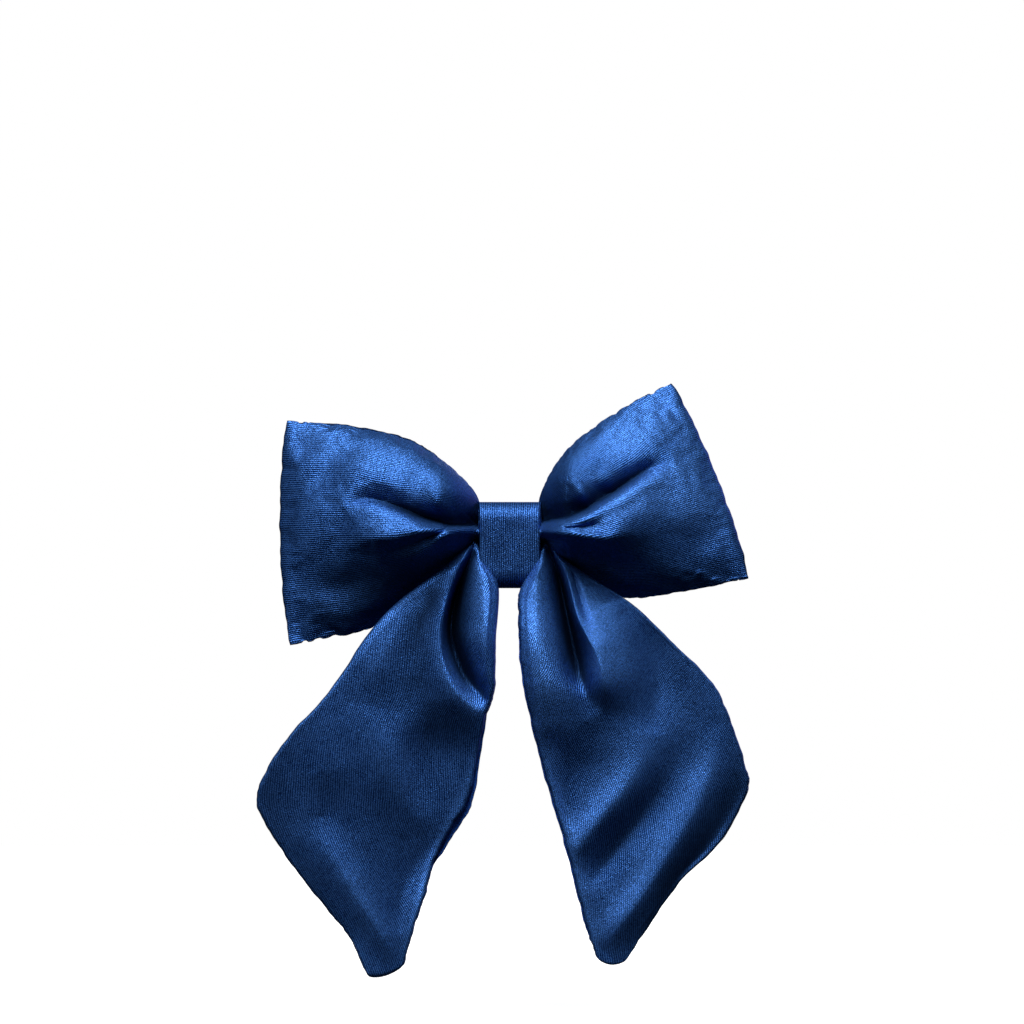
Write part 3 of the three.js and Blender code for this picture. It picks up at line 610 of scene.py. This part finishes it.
TAILS = {
    "left": {
        "side": -1,
        "inner": [(-11.4, 1.5), (-8.6, -5), (-3.9, -13.6), (-4.8, -32), (-5.3, -49), (-8.6, -59.5),
                  (-13.6, -85), (-19.5, -95), (-25.5, -107), (-28.4, -118), (-32, -128.5),
                  (-35.8, -141.6)],
        "outer": [(-12.8, 1.5), (-16, -1.5), (-23.8, -8.5), (-37.4, -18.7), (-47.6, -29.6), (-61, -49.3),
                  (-74.8, -64.6), (-83.3, -78), (-85.4, -88), (-79, -100.5), (-70.7, -112.6),
                  (-60.8, -125.2), (-54.6, -133), (-48.6, -145.4)],
        "tip": 2.8,
        "folds": [
            # crisp edge where the flat part folds under; lower down it curls round below the valley
            [(-12, -1, 2, 1.2, 3), (-16.7, -6.9, 3.5, 1.2, 6), (-21.3, -18.9, 4.6, 1.3, 9),
             (-23.3, -32, 4.4, 1.4, 10), (-21, -43, 3.6, 1.8, 9), (-16, -51.5, 2.2, 2.4, 8),
             (-9, -57.5, 0.4, 4, 7)],
            # valley beside it
            [(-12, 0, -4, 2, 1.2), (-14, -5.6, -6, 2.4, 1.4), (-18.6, -19, -8, 3.4, 1.6),
             (-20, -30.8, -8, 5, 1.6), (-16, -42.8, -7, 6, 2.2), (-10, -50, -4, 5, 3),
             (-5, -55, -1, 4, 3)],
            # puffed roll along the inner edge
            [(-10.6, -2, 1.5, 2.4, 2.4), (-9.4, -8, 2.8, 4.5, 3.6), (-8.6, -20, 3.6, 6, 5),
             (-8.2, -32, 3, 6, 5), (-7.6, -42, 1.6, 4, 4), (-8, -58, 0, 4, 5)],
            # soft waves in the hanging part
            [(-24, -12, -1, 5, 4), (-28, -22, -1.6, 5, 5), (-31, -34, -1, 6, 5), (-32, -44, 0, 6, 6)],
            [(-30, -12, 0, 5, 5), (-37, -26, 1.6, 6, 7), (-43, -40, 2, 8, 8), (-46, -54, 0, 8, 8)],
            [(-26, -52, 0, 7, 7), (-26, -66, -1.8, 9, 8), (-30, -80, -1, 8, 8), (-30, -92, 0, 8, 8)],
            [(-52, -52, 0, 8, 8), (-42, -68, 1.8, 8, 9), (-36, -84, 2, 7, 8), (-30, -98, 0, 7, 7)],
            [(-62, -76, 0, 7, 7), (-60, -90, -1.6, 8, 8), (-54, -104, -1, 6, 6), (-50, -112, 0, 6, 6)],
            [(-65, -92, 0, 6, 6), (-59, -106, 2.2, 6, 6), (-51, -120, 2.6, 5, 6), (-43, -133, 1.4, 4, 5),
             (-40, -142, 0, 4, 4)],
            [(-24, -96, 0, 5, 5), (-32, -108, -1.8, 6, 6), (-37, -120, -1.2, 5, 5), (-38, -132, 0, 5, 5)],
        ],
        # painted highlights, and painted shade where a stroke's height is below 0
        "pile_mottle_and_painted_strokes": [
            [(-10, -3, 0.1, 3, 3), (-8.9, -17, 0.8, 4, 4), (-8.2, -29, 0.7, 5, 4), (-7.6, -40, 0.1, 3, 3)],
            [(-21.6, -45, 0, 2, 2), (-17, -51, 0.7, 3, 2.5), (-12, -55, 0.7, 3, 2), (-7, -57.5, 0, 2, 2)],
            [(-33, -16, 0, 3, 3), (-38, -26, 0.3, 5, 5), (-43, -38, 0.25, 6, 6), (-46, -52, 0, 6, 6)],
            [(-46, -62, 0, 6, 6), (-41, -74, 0.3, 6, 7), (-35, -84, 0.3, 6, 6), (-30, -94, 0, 5, 5)],
            [(-63, -98, 0, 4, 4), (-58, -107, 0.2, 4, 4), (-51.5, -117, 0.8, 4, 4),
             (-44, -129, 0.5, 3.4, 3.4), (-38, -141, 0, 3, 3)],
            [(-9.5, -62, 0.2, 2, 1), (-13.6, -78, 0.8, 2, 1.2), (-20.5, -94, 0.9, 2, 1.4),
             (-28, -110, 0.8, 2, 1.6), (-31, -122, 0.8, 2, 2), (-36, -139, 0.4, 2, 2)],
            # painted shade beside the crisp edge, and down the outer edge
            [(-13, -4, -0.3, 2, 1.4), (-18.4, -19, -0.9, 3, 1.6), (-19.6, -30.8, -0.9, 4, 1.6),
             (-15.6, -42.6, -0.9, 4.4, 2), (-10.6, -49, -0.5, 4, 2.4), (-6, -53, 0, 3, 2)],
            [(-14, -3, 0, 3, 3), (-24, -14, -0.7, 5, 5), (-30, -26, -0.9, 5, 6), (-31, -38, -0.5, 6, 6),
             (-28, -50, -0.4, 6, 6), (-24, -62, -0.2, 7, 6), (-23, -74, 0, 6, 6)],
            [(-62, -54, 0, 6, 6), (-80, -76, -0.4, 8, 6), (-80, -94, -0.4, 8, 6), (-66, -114, -0.4, 5, 5),
             (-56, -130, 0, 4, 4)],
            [(-17.6, -9, 0.1, 0.8, 1.2), (-22.3, -20, 0.4, 0.8, 1.4), (-24.2, -32, 0.5, 0.8, 1.6),
             (-22.4, -42, 0.6, 1, 1.8), (-18, -49, 0.4, 2, 2)],
        ],
        "lining_out": [(0, 0), (0.42, 0.2), (0.53, 1.2), (0.62, 2.8), (0.70, 1.8), (0.75, 0), (1, 0)],
    },
    "right": {
        "side": 1,
        "inner": [(11.4, 1.5), (8.4, -5), (3.6, -14.6), (2.9, -22), (4.4, -44), (10.8, -73),
                  (18.7, -100.3), (25.5, -127.5), (29, -138.5)],
        "outer": [(12.8, 1.5), (19, -5), (29, -11.9), (42, -20.4), (54.4, -32.3), (68, -46), (74, -58),
                  (79.5, -74.5), (80.3, -83), (71.4, -100.3), (57.8, -114), (46, -131), (40, -139)],
        "tip": 3.8,
        "folds": [
            # roll along the inner edge
            [(11, -1, 1.5, 2, 2.4), (9.4, -7, 2.6, 4, 4.4), (9, -20, 3.8, 6.4, 5.4), (10, -36, 5, 8, 6.4),
             (12, -52, 4, 9, 7), (14, -66, 1.4, 9, 8), (16, -78, 0, 9, 8)],
            # dark valley beside it, narrow at the knot, which widens and closes in a curved lip
            [(12.4, 0, -3, 1.2, 1.6), (14.6, -5, -5, 1.2, 2.4), (16.8, -12, -7.5, 1.4, 3),
             (18.8, -22, -9, 1.8, 3.6), (20.6, -31, -9.2, 2.8, 4), (22, -38, -8.4, 3.6, 4.2),
             (23.6, -44.5, -6, 4, 4.2), (26, -51, -2.6, 4, 4), (29, -57, 0, 5, 5)],
            # sharp crest beside the valley; the lit slope beyond it comes forward and then turns under
            [(13.6, -0.6, 0.8, 3, 1), (18.1, -7.2, 2.2, 5, 1), (20.6, -15, 3.2, 8, 1.1),
             (22.6, -23.4, 4.4, 12, 1.3), (25.8, -30, 6, 14, 1.8), (29, -36, 7.2, 14, 3),
             (31.6, -44, 7.4, 12, 5), (32, -50, 4.6, 9, 6), (31, -56, 1.2, 7, 6), (30, -63, 0, 6, 6)],
            [(18.8, -5, -0.4, 1, 1), (21.4, -11, -1.6, 1.2, 1.2), (23.6, -18, -2.2, 1.4, 1.3),
             (26.2, -26, -1.2, 1.8, 1.6), (29, -33, 0, 2, 2)],
            # the outer part falls away from the crest
            [(28, -10, 0, 3, 3), (40, -24, -2.4, 5, 6), (48, -38, -3.4, 6, 8), (49, -52, -2.4, 7, 8),
             (48, -64, 0, 7, 7)],
            # soft diagonal waves in the hanging part
            [(12, -62, 0, 5, 5), (19, -74, -2.2, 6, 6), (20, -88, -2, 6, 5), (22, -102, 0, 5, 5)],
            [(20, -108, 0, 5, 5), (28, -96, 3, 5, 5), (36, -86, 3.2, 6, 6), (44, -75, 1.8, 7, 7),
             (52, -62, 0, 8, 8)],
            [(25, -117, 0, 5, 5), (34, -106, -2.6, 5, 5), (45, -91, -3, 6, 6), (54, -76, -1.6, 7, 7),
             (60, -62, 0, 7, 7)],
            [(31, -137, 0, 4, 4), (37, -129, 2.4, 5, 5), (47, -115, 3.4, 5, 6), (59, -95, 3.2, 6, 6),
             (68, -76, 1.8, 6, 6), (71, -60, 0, 6, 6)],
            [(48, -126, 0, 4, 4), (60, -110, -1.6, 4, 5), (72, -92, -1.4, 5, 5), (76, -76, 0, 4, 4)],
        ],
        # painted highlights, and painted shade where a stroke's height is below 0
        "pile_mottle_and_painted_strokes": [
            [(10, -4, 0.1, 3, 3), (9, -15, 0.75, 6, 5), (9.4, -32, 0.9, 7, 7), (11, -50, 1.1, 8, 7),
             (14, -63, 0.7, 8, 7), (17, -76, 0, 6, 6)],
            [(22, -9, 0, 2, 2), (27.4, -20, 1, 5, 3), (30.6, -30, 1.4, 7, 4), (32.8, -41, 1.9, 8, 4),
             (32.6, -46.5, 1.2, 8, 3), (32, -50, 0, 6, 4)],
            [(14, -1.5, 0.2, 0.8, 0.6), (18.2, -7.4, 0.6, 0.9, 0.6), (22.4, -23, 0.4, 1, 0.8),
             (27, -32, 0, 1, 1)],
            [(18, -104, 0, 3, 3), (24.5, -94, 1, 3, 3.6), (31, -86, 1.1, 4, 4), (39, -76, 0.6, 5, 5),
             (46, -62, 0, 6, 6)],
            [(26, -136, 0, 3, 3), (33, -127, 0.8, 3.6, 3.6), (42, -116, 1.1, 4, 4),
             (53, -96, 0.7, 5, 4.5), (63, -78, 0.6, 4, 6), (67, -64, 0.2, 4, 6), (69, -54, 0, 5, 5)],
            [(8, -52, 0, 3, 1.6), (11.4, -70, 0.9, 4, 1.6), (16, -88, 1.1, 4, 1.6),
             (23, -114, 1, 3.4, 1.4), (28.4, -134, 0.6, 3, 1.2)],
            [(30, -60, 0, 6, 6), (33, -70, 0.3, 8, 7), (30, -80, 0.2, 7, 6), (26, -88, 0, 5, 5)],
            # painted shade down the valley to where it closes, between the waves, and down the outer edge
            [(15, -6, -0.2, 2, 2), (17.6, -14, -0.6, 3, 3), (19.6, -26, -0.9, 3.4, 3),
             (22, -38, -1, 4, 3.6), (24, -45, -0.9, 4, 3.4), (27, -51, -0.3, 5, 4), (29, -57, 0, 5, 5)],
            [(26, -114, 0, 4, 4), (36, -102, -0.3, 5, 5), (45, -88, -0.3, 6, 6), (52, -72, 0, 6, 6)],
            [(42, -14, 0, 4, 4), (54, -36, -0.4, 7, 7), (60, -54, -0.3, 7, 7), (72, -62, -0.2, 5, 5),
             (77, -80, -0.6, 5, 5), (66, -101, -0.7, 5, 6), (54, -116, -0.6, 4, 5),
             (44, -131, -0.4, 3, 4), (39, -138, 0, 3, 3)],
        ],
        "lining_out": [(0, 0), (0.4, 0.2), (0.5, 0.5), (0.7, 0.6), (0.9, 0.5), (1, 0)],
    },
}


def hang(z, q):
    """How far forward a tail hangs. Its inner, pleated side swells out over the knot's corner; its
    outer side drops almost straight down."""
    inner = [(-16.5, 155), (-17, 125), (-18.5, 98), (-21.5, 74), (-26, 58), (-29, 46), (-28.5, 32),
             (-26, 18), (-24, 8), (-21.5, 1), (-17, -4)]
    outer = [(-17, 155), (-18, 125), (-21, 98), (-23.6, 74), (-25, 55), (-25.4, 42), (-25.6, 30),
             (-25.6, 18), (-25, 8), (-22, 1), (-17, -4)]
    sides = []
    for profile in (inner, outer):
        line = curve(profile, np.linspace(0, 1, 200))[::-1]
        sides.append(np.interp(-z, line[:, 1], line[:, 0]))
    across = ease(q, 0.2, 0.5)
    return sides[0] * (1 - across) + sides[1] * across


def eased(path, times):
    """The same fold, that many times as wide."""
    return [(x, z, height, left * times, right * times) for x, z, height, left, right in path]


def tail_panel(tail, facing):
    """One panel's points: p runs down from the knot, q from the inner edge to the outer one."""
    p, q = np.meshgrid(np.linspace(0, 1, TAIL_ROWS), np.linspace(0, 1, TAIL_COLUMNS), indexing="ij")
    inner = curve(tail["inner"], p)
    outer = curve(tail["outer"], p)
    if facing == "back":
        places, reach = np.array(tail["lining_out"]).T
        outwards = np.interp(p, places, reach) * MM
        inner = inner - np.stack([tail["side"] * outwards, np.zeros_like(p)], axis=2)
    edge = np.minimum(q, 1 - q)
    gathered = HEM_PUCKER * puckers(p, 17, 2 + tail["side"]) * (1 - ease(edge, 0, 0.06)) * ease(p, 0.2, 0.4)
    x = inner[..., 0] + (outer - inner)[..., 0] * q + gathered
    z = inner[..., 1] + (outer - inner)[..., 1] * q
    z -= tail["tip"] * MM * np.sqrt(4 * q * (1 - q)) * ease(p, 0.9, 1)
    width = np.linalg.norm(outer - inner, axis=2)
    from_edge = np.minimum(edge * width, (1 - p) * TAIL_LENGTH)
    roll = PANEL_ROUNDING[facing] * np.sqrt(np.clip(1 - np.clip(1 - from_edge / EDGE_ROLL, 0, 1) ** 2, 0, 1))
    if facing == "front":
        hills = sum(fold(x, z, path) for path in tail["folds"])
        y = hang(z, q) - roll - hills * np.clip(from_edge / (3 * MM), 0.15, 1)
    else:
        valleys = [path for path in tail["folds"] if min(stop[2] for stop in path) < 0]
        hills = sum(fold(x, z, eased(path, 2)) for path in valleys)
        slack = np.sin(9 * q + 14 * p + 1) + 0.7 * np.sin(23 * p - 11 * q) + 0.5 * np.sin(31 * q + 5 * p)
        inside = np.clip(from_edge / (5 * MM), 0, 1)
        y = hang(z, q) + LINING_BEHIND + roll - np.minimum(hills, LINING_PLEAT) * inside
        y += LINING_SLACK * (slack + 1.2) * inside * ease(p, 0.1, 0.3)
    return q, np.stack([x, y, z], axis=2), fold_shade_of(hills)


for side, tail in TAILS.items():
    for facing, material, slot in (("front", navy_velvet, "velvet"), ("back", royal_lining, "lining")):
        q, points, fold_shade = tail_panel(tail, facing)
        nodes = [f"{side}_tail_{facing}_panel"]
        if facing == "front":
            painted_light = painted_light_of(points, fold_shade, tail["pile_mottle_and_painted_strokes"])
            nodes.append(f"{side}_tail_gather")
        else:
            # painted highlight along the lining's inner edge
            painted_light = 0.9 * (1 - ease(q, 0.02, 0.08))
        across = lengths_along(points, 1) + WEAVE_SLANT * tail["side"] * points[..., 2]
        weave = np.stack([across, points[..., 2], painted_light], axis=2)
        looks_right = (facing == "front") == (tail["side"] > 0)
        piece = mesh_from_grid(f"{side}_tail_{facing}", points, weave, material, looks_right)
        thicken(piece, CLOTH_THICK)
        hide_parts(*nodes)
        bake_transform(piece)

# ---------------------------------------------------------------------------------------------
# Necks. The gathered ends of the loops and tails run on under the knot band, in small even
# pleats, and meet at its middle, where the thread binds them.
# ---------------------------------------------------------------------------------------------
NECK_PLEATS = 13
NECK_GAP = 0.3 * MM
NECK_Y = -14.8 * MM
NECKS = {
    # height of the middle, half of the height, and reach
    "loop": (6.9 * MM, 6.2 * MM, 10.6 * MM),
    "tail": (-7 * MM, 5.8 * MM, 10.9 * MM),
}


def neck_piece(name, side, centre_z, half_height, reach):
    """A pleated tube from just beside the middle of the knot out to reach."""
    along, around = np.meshgrid(np.linspace(0, 1, 26), np.linspace(0, 1, 157), indexing="ij")
    angle = around * 2 * math.pi
    bound = 1 - 0.17 * (1 - ease(along, 0.1, 0.4))
    pleat = 1 - 0.07 * (1 + np.cos(NECK_PLEATS * angle + 1.5 * np.sin(3 * angle)))
    x = side * (NECK_GAP + (reach - NECK_GAP) * along)
    y = NECK_Y + WAIST_DEPTH * bound * pleat * np.cos(angle)
    z = centre_z + half_height * bound * pleat * np.sin(angle)
    points = np.stack([x, y, z], axis=2)
    weave = np.stack([lengths_along(points, 1), x, np.zeros_like(x)], axis=2)
    piece = mesh_from_grid(name, points, weave, navy_velvet, side < 0)
    thicken(piece, CLOTH_THICK)
    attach(piece, "bow")
    return piece


for side, loop in LOOPS.items():
    for part, sizes in NECKS.items():
        neck = neck_piece(f"{side}_{part}_neck_gathers", loop["side"], *sizes)
        if part == "loop":
            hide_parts(f"{side}_loop_neck")

# ---------------------------------------------------------------------------------------------
# Knot band. A strip of the same velvet is wound once round the waist and the barrette's base,
# with its ribs upright, lapped over itself behind and sewn down.
# ---------------------------------------------------------------------------------------------
BAND_CORNER = 6 * MM
BAND_LAP = 5 * MM
BAND_LAP_Z = -2 * MM
BAND_THICK = 0.9 * MM
BAND_CROWN = 0.5 * MM
BAND_EDGE_ROLL = 0.9 * MM
BAND_UNEVEN = 0.12 * MM
BAND_DRAWN_IN = 0.012
band_low, band_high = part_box("knot_band")


def band_line(t):
    """Outline of the wound strip in the YZ plane, from the lap behind, down, forwards, up and back."""
    r = BAND_CORNER
    rear, fore = band_high[1] - r, band_low[1] + r
    low, high = band_low[2] + r, band_high[2] - r
    stops = [(band_high[1], BAND_LAP_Z)]
    for quarter, (y, z) in enumerate(((rear, low), (fore, low), (fore, high), (rear, high))):
        for angle in np.radians(np.linspace(-90 * quarter, -90 * (quarter + 1), 9)):
            stops.append((y + r * math.cos(angle), z + r * math.sin(angle)))
    stops = np.array([*stops, (band_high[1], BAND_LAP_Z - BAND_LAP)])
    walked = np.concatenate([[0], np.cumsum(np.linalg.norm(np.diff(stops, axis=0), axis=1))])
    at = t * walked[-1]
    y = np.interp(at, walked, stops[:, 0])
    z = np.interp(at, walked, stops[:, 1])
    lifted = BAND_THICK * ease(at, walked[-1] - 3 * BAND_LAP, walked[-1] - BAND_LAP)
    return y + lifted, z, at


around, over = np.meshgrid(np.linspace(0, 1, 260), np.linspace(-1, 1, 70), indexing="ij")
band_y, band_z, band_length = band_line(around)
front = ease(-band_y, 20 * MM, 26 * MM)
half_width = (band_high[0] - band_low[0]) / 2
edge = np.abs(over)
crown = BAND_CROWN * (1 - edge**2) - BAND_EDGE_ROLL * np.clip((edge - 0.93) / 0.07, 0, 1) ** 2
uneven = BAND_UNEVEN * np.sin(over * 5 + 1) * np.sin(band_length / MM * 0.35)
band_x = over * half_width * (1 - BAND_DRAWN_IN * front)
band_points = np.stack([band_x, band_y - (crown + uneven) * front, band_z], axis=2)
# painted light on the band: lighter towards its top, painted shade lower down
band_painted_light = 0.5 * ease(band_z, 6 * MM, 14 * MM) - 0.25
band_weave = np.stack([over * half_width, band_length, band_painted_light], axis=2)
band = mesh_from_grid("knot_band_wrap", band_points, band_weave, navy_velvet, False)
thicken(band, BAND_THICK)
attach(band, "bow")
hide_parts("knot_band")

# ---------------------------------------------------------------------------------------------
# Barrette. A French clasp of nickel-plated steel, drawn lengthwise: the base, arm, pin and rivet
# are plated, and the leaf, catch and its wings are darker spring steel.
# ---------------------------------------------------------------------------------------------


def plated(name, base, roughness, streaks):
    material, start = new_material(name)
    place = start.node("TexCoord", output=3)
    drawn = start.node("Mapping", inputs={"Vector": place, "Scale": (30.0, streaks, streaks)})
    grain = noise(drawn, 1.0, 4.0, 0.6)
    smudge = noise(place, 140.0, 2.0)
    colour = between(brighter(base, 0.78), base, clamped(grain * 0.6 + smudge * 0.5 - 0.05))
    rough = smudge * 0.18 + grain * 0.1 + roughness
    bump = bumped(grain, 0.15, 0.05 * MM)
    inputs = {"Base Color": colour, "Metallic": 0.8, "Roughness": rough, "Normal": bump}
    return surfaced(material, start, inputs)


plated_steel = plated("plated_steel", (0.78, 0.77, 0.74, 1), 0.26, 1500.0)
spring_steel = plated("spring_steel", (0.62, 0.62, 0.63, 1), 0.22, 900.0)
for material, names in (
    (plated_steel, ("barrette_base", "clasp_arm", "hinge_pin", "catch_rivet")),
    (spring_steel, ("tension_leaf", "catch_plate", "upper_catch_wing", "lower_catch_wing")),
):
    for name in names:
        mesh = frame["nodes"][name].data
        mesh.materials.clear()
        mesh.materials.append(material)

# ---------------------------------------------------------------------------------------------
# Thread. Navy polyester thread binds the necks in five turns under the knot band, and sews the
# barrette on by two turns through each of its holes, above and below.
# ---------------------------------------------------------------------------------------------
THREAD_RADIUS = 0.28 * MM
TWIST_PITCH = 0.9 * MM
PLIES = 3.0


def twisted(name, dark, light):
    """Three-ply sewing thread: its plies wind round it as it runs."""
    material, start = new_material(name)
    round_it, along, _ = weave_of(start)
    ply = ripple(along * (2 * math.pi / TWIST_PITCH) + round_it * PLIES)
    fuzz = noise(start.node("TexCoord", output=3), 5000.0, 2.0)
    colour = between(dark, light, ply * 0.7 + fuzz * 0.5 - 0.1)
    bump = bumped(ply + fuzz * 0.4, 0.9, 0.1 * MM)
    return surfaced(material, start, {"Base Color": colour, "Roughness": fuzz * 0.2 + 0.45, "Normal": bump})


navy_thread = twisted("navy_thread", (0.003, 0.010, 0.040, 1), (0.020, 0.065, 0.210, 1))


def squared(wave, squareness):
    """Takes the sine or cosine that draws a circle towards the one that draws a square."""
    return np.sign(wave) * np.abs(wave) ** (2 / squareness)


def wound(name, node, turns, squareness):
    """Turns of thread side by side along X, lying in the ring that the node's box gives."""
    low, high = (np.array(corner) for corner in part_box(node))
    middle, half = (low + high) / 2, (high - low) / 2 - THREAD_RADIUS
    t = np.linspace(0, 1, 64 * turns + 1)
    angle = 2 * math.pi * turns * t
    c, n = np.cos(angle), np.sin(angle)
    x = middle[0] + max(half[0], (turns - 1) * THREAD_RADIUS) * (2 * t - 1)
    y = middle[1] + half[1] * squared(c, squareness)
    z = middle[2] + half[2] * squared(n, squareness)
    line = np.stack([x, y, z], axis=1)
    out = np.stack([np.zeros_like(c), c / half[1], n / half[2]], axis=1)
    out /= np.linalg.norm(out, axis=1, keepdims=True)
    phi = np.linspace(0, 2 * math.pi, 11)
    sideways = np.array([1.0, 0, 0])
    ring = out[:, None] * np.cos(phi)[None, :, None] + sideways * np.sin(phi)[None, :, None]
    points = line[:, None] + THREAD_RADIUS * ring
    walked = lengths_along(points, 0)
    weave = np.stack([np.broadcast_to(phi, walked.shape), walked, np.zeros_like(walked)], axis=2)
    piece = mesh_from_grid(name, points, weave, navy_thread)
    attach(piece, "bow")
    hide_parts(node)


wound("binding_turns", "binding_thread", 5, 5.0)
for side in ("left", "right"):
    for height in ("upper", "lower"):
        wound(f"{side}_{height}_stitch_turns", f"{side}_{height}_stitch", 2, 4.0)

# ---------------------------------------------------------------------------------------------
# Camera, lights and floor. The bow hangs in a white room, under one large soft light from above
# and in front, with weak lights around it.
# ---------------------------------------------------------------------------------------------
CAMERA_PLACE = (0.7 * MM, -0.983, 11.2 * MM)
LIGHTS = {
    # where each light is, where it points, its width and height, and its power
    "key": ((-0.08, -0.60, 0.76), (0, -0.02, -0.02), (0.5, 0.4), 15.8),
    "front": ((-0.3, -1.5, 0.5), (0, 0, -0.03), (0.6, 0.4), 0.6),
    "left": ((-1.2, -0.4, 0.2), (0, 0, -0.03), (0.3, 0.8), 2),
    "right": ((1.2, -0.4, 0.2), (0, 0, -0.03), (0.3, 0.8), 1.5),
    "back": ((0.5, 1.4, 0.1), (0, 0, -0.03), (1.4, 1.0), 8),
}
FLOOR_Z = -0.175
FLOOR_HALF = 0.6
WHITE = (1, 1, 1, 1)
PAPER = (0.9, 0.9, 0.9, 1)
DIM_SKY = (0.8, 0.87, 1, 1)

scene = bpy.context.scene
scene.view_settings.view_transform = "Standard"

lens = bpy.data.cameras.new("camera")
lens.lens = 100
lens.sensor_width = 36
camera = bpy.data.objects.new("camera", lens)
camera.location = CAMERA_PLACE
camera.rotation_euler = (math.pi / 2, 0, 0)
scene.collection.objects.link(camera)
scene.camera = camera

for name, (place, aim, size, power) in LIGHTS.items():
    light = bpy.data.lights.new(name, "AREA")
    light.shape = "RECTANGLE"
    light.size, light.size_y = size
    light.energy = power
    lamp = bpy.data.objects.new(name, light)
    lamp.location = place
    lamp.rotation_euler = (Vector(aim) - Vector(place)).to_track_quat("-Z", "Y").to_euler()
    scene.collection.objects.link(lamp)

world = bpy.data.worlds.new("studio")
scene.world = world
world.use_nodes = True
world.node_tree.nodes.clear()
studio = Socket(world.node_tree)
seen = studio.node("LightPath", output=0)
dim = studio.node("Background", inputs={"Color": DIM_SKY, "Strength": 0.03})
white = studio.node("Background", inputs={"Color": WHITE, "Strength": 1.0})
studio.node("OutputWorld", inputs={"Surface": studio.node("MixShader", inputs={0: seen, 1: dim, 2: white})})

ends = (-FLOOR_HALF, FLOOR_HALF)
floor_mesh = bpy.data.meshes.new("floor")
floor_mesh.from_pydata([(x, y, FLOOR_Z) for x in ends for y in ends], [], [(0, 2, 3, 1)])
floor = bpy.data.objects.new("floor", floor_mesh)
scene.collection.objects.link(floor)
pale, start = new_material("pale_floor")
glow = {"Emission Color": WHITE, "Emission Strength": 0.8}
floor_mesh.materials.append(surfaced(pale, start, {"Base Color": PAPER, "Roughness": 0.9, **glow}))
floor.visible_diffuse = False
floor.visible_glossy = False
